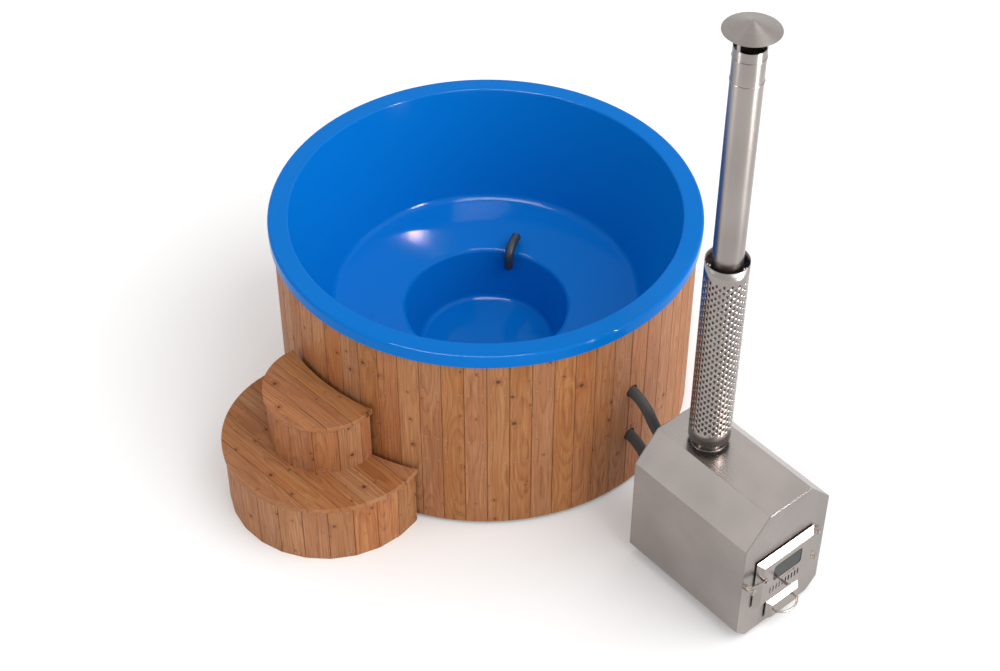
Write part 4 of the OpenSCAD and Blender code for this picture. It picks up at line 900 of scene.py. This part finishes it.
class HOTTUB_OT_stage(bpy.types.Operator):
    """Sets the floor, the lights and the camera"""

    bl_idname = "hottub.stage"
    bl_label = "Stage"

    def execute(self, context):
        stage = context.scene.hottub_stage
        self.make_floor(stage)
        self.make_world(context.scene, stage)
        self.make_key(stage)
        self.make_reflections()
        self.make_camera(context.scene)
        context.scene.view_settings.view_transform = "Standard"
        return {"FINISHED"}

    def seen(self, n):
        """1 for a ray from the camera, off metal or through glass, which see the white room."""
        rays = n("LightPath").outputs
        glossy = n("Math", {0: rays["Is Glossy Ray"], 1: rays["Is Transmission Ray"]},
                   operation="MAXIMUM")
        return n("Math", {0: rays["Is Camera Ray"], 1: glossy}, operation="MAXIMUM")

    def make_floor(self, stage):
        """A paper floor that keeps the object's shadow, lifted a little towards white."""
        reach = 60.0
        corners = ((-reach, -reach, 0), (reach, -reach, 0), (reach, reach, 0), (-reach, reach, 0))
        shape = bmesh.new()
        shape.faces.new([shape.verts.new(corner) for corner in corners])
        mesh = bpy.data.meshes.new("studio_floor")
        shape.to_mesh(mesh)
        shape.free()
        floor = bpy.data.objects.new("studio_floor", mesh)
        bpy.context.scene.collection.objects.link(floor)
        # Uncoated paper: near white, without any sheen
        made, n, shader = material("paper_backdrop", stage.floor[:], Roughness=1.0,
                                   Specular_IOR_Level=0.0)
        lift = n("Math", {0: self.seen(n), 1: stage.lift}, operation="MULTIPLY")
        white = n("Emission", {"Color": (1, 1, 1, 1), "Strength": 1.0})
        both = n("MixShader", {0: lift, 1: shader.outputs[0], 2: white})
        surface = made.node_tree.nodes["Material Output"].inputs["Surface"]
        made.node_tree.links.new(both.outputs[0], surface)
        mesh.materials.append(made)

    def make_world(self, scene, stage):
        """An even room that looks white."""
        world = bpy.data.worlds.new("studio_room")
        world.use_nodes = True
        tree = world.node_tree
        tree.nodes.clear()
        n = partial(add, tree)
        even = n("Background", {"Color": (1, 1, 1, 1), "Strength": stage.sky})
        white = n("Background", {"Color": (1, 1, 1, 1), "Strength": 1.0})
        mix = n("MixShader", {0: self.seen(n), 1: even, 2: white})
        n("OutputWorld", {"Surface": mix})
        scene.world = world

    def make_key(self, stage):
        """One wide soft light from the front, a little from the right."""
        towards = Vector((0.3, -0.74, 0.6))
        sun = bpy.data.lights.new("soft_key", "SUN")
        sun.energy = stage.key
        sun.angle = stage.key_width
        lamp = bpy.data.objects.new("soft_key", sun)
        lamp.rotation_euler = towards.to_track_quat("Z", "Y").to_euler()
        bpy.context.scene.collection.objects.link(lamp)

    def lit_pieces(self, name, *pieces):
        """A collection of CAD nodes, for lamps that shine on them alone."""
        made = bpy.data.collections.new(name)
        for piece_name in pieces:
            made.objects.link(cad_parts[piece_name])
        return made

    def make_reflections(self):
        """Lamps that only show as reflections. The polished gelcoat alone mirrors a small one over
        the far side, a tall strip at the front and a wide bank overhead, which draws the light
        lines along its rounded edges. A tall panel by the steps gives the chimney alone its left
        band. Soft panels at the left, the right and the front set the stove's faces apart."""
        polished = self.lit_pieces("polished", "tub_shell")
        pipes = self.lit_pieces("pipes", "flue_collar", "lower_flue", "upper_flue", "cap_and_stays")
        for name, spot, aim, wide, high, watts, only in (
            ("spark", (5.36, 4.86, 10.4), (0.04, 0.64, 0.53), 0.2, 0.2, 90, polished),
            ("strip_front", (0.94, -4.4, 2.2), (0.1, 0.8, 1.0), 1.0, 2.2, 1200, polished),
            ("bank_overhead", (-0.6, 0.3, 6.0), (0.0, 0.0, 0.5), 3.0, 3.0, 1200, polished),
            ("panel_left", (-4.7, 0.9, 3.9), (-0.2, -1.6, 0.7), 2.0, 2.0, 9, None),
            ("panel_right", (3.2, 0.9, 5.2), (0.0, -1.7, 0.7), 2.0, 2.0, 7, None),
            ("panel_steps", (-3.8, -0.1, 2.6), (0.0, -1.5, 1.7), 0.7, 2.6, 130, pipes),
            ("panel_front", (0.94, -4.4, 2.2), (0.1, 0.8, 1.0), 1.0, 2.2, 260, None),
        ):
            area = bpy.data.lights.new(name, "AREA")
            area.shape = "RECTANGLE"
            area.size, area.size_y = wide, high
            area.energy = watts
            lamp = bpy.data.objects.new(name, area)
            lamp.location = spot
            lamp.rotation_euler = (Vector(spot) - Vector(aim)).to_track_quat("Z", "Y").to_euler()
            lamp.visible_diffuse = False
            lamp.visible_camera = False
            lamp.light_linking.receiver_collection = only
            bpy.context.scene.collection.objects.link(lamp)

    def make_camera(self, scene):
        """The photograph's camera."""
        data = bpy.data.cameras.new("camera")
        data.sensor_width = SENSOR_WIDTH
        data.lens = FOCAL_PIXELS / PHOTO_WIDTH * SENSOR_WIDTH
        data.clip_end = 200
        camera = bpy.data.objects.new("camera", data)
        level_part, down_part = math.cos(CAMERA_PITCH), math.sin(CAMERA_PITCH)
        forward = CAMERA_HEADING * level_part - Vector((0, 0, down_part))
        right = forward.cross(Vector((0, 0, 1))).normalized()
        up = right.cross(forward)
        level = Matrix((right, up, -forward)).transposed().to_4x4()
        roll = Matrix.Rotation(-CAMERA_ROLL, 4, "Z")
        camera.matrix_world = Matrix.Translation(CAMERA_SPOT) @ level @ roll
        scene.collection.objects.link(camera)
        scene.camera = camera


SETTINGS = {
    "hottub_tub": TubSettings,
    "hottub_steps": StepSettings,
    "hottub_stove": StoveSettings,
    "hottub_hoses": HoseSettings,
    "hottub_chimney": ChimneySettings,
    "hottub_stage": StageSettings,
}
OPERATORS = (
    HOTTUB_OT_insert, HOTTUB_OT_cladding, HOTTUB_OT_timber, HOTTUB_OT_steps, HOTTUB_OT_hoses,
    HOTTUB_OT_fittings, HOTTUB_OT_grab_bar, HOTTUB_OT_stove, HOTTUB_OT_door, HOTTUB_OT_ash_drawer,
    HOTTUB_OT_chimney, HOTTUB_OT_heat_guard, HOTTUB_OT_stage,
)


class HOTTUB_PT_panel(bpy.types.Panel):
    """Lists the operators and the settings of the hot tub"""

    bl_idname = "HOTTUB_PT_panel"
    bl_label = "Hot tub"
    bl_space_type = "VIEW_3D"
    bl_region_type = "UI"
    bl_category = "Hot tub"

    def draw(self, context):
        for operator in OPERATORS:
            self.layout.operator(operator.bl_idname)
        for name in SETTINGS:
            group = getattr(context.scene, name)
            box = self.layout.box()
            for key in group.bl_rna.properties.keys():
                if key not in ("rna_type", "name"):
                    box.prop(group, key)


def register():
    for group in SETTINGS.values():
        bpy.utils.register_class(group)
    for name, group in SETTINGS.items():
        setattr(bpy.types.Scene, name, PointerProperty(type=group))
    for operator in OPERATORS:
        bpy.utils.register_class(operator)
    bpy.utils.register_class(HOTTUB_PT_panel)


def unregister():
    bpy.utils.unregister_class(HOTTUB_PT_panel)
    for operator in reversed(OPERATORS):
        bpy.utils.unregister_class(operator)
    for name, group in SETTINGS.items():
        delattr(bpy.types.Scene, name)
        bpy.utils.unregister_class(group)


def main():
    register()
    for operator in OPERATORS:
        area, name = operator.bl_idname.split(".")
        getattr(getattr(bpy.ops, area), name)()


if __name__ == "__main__":
    main()
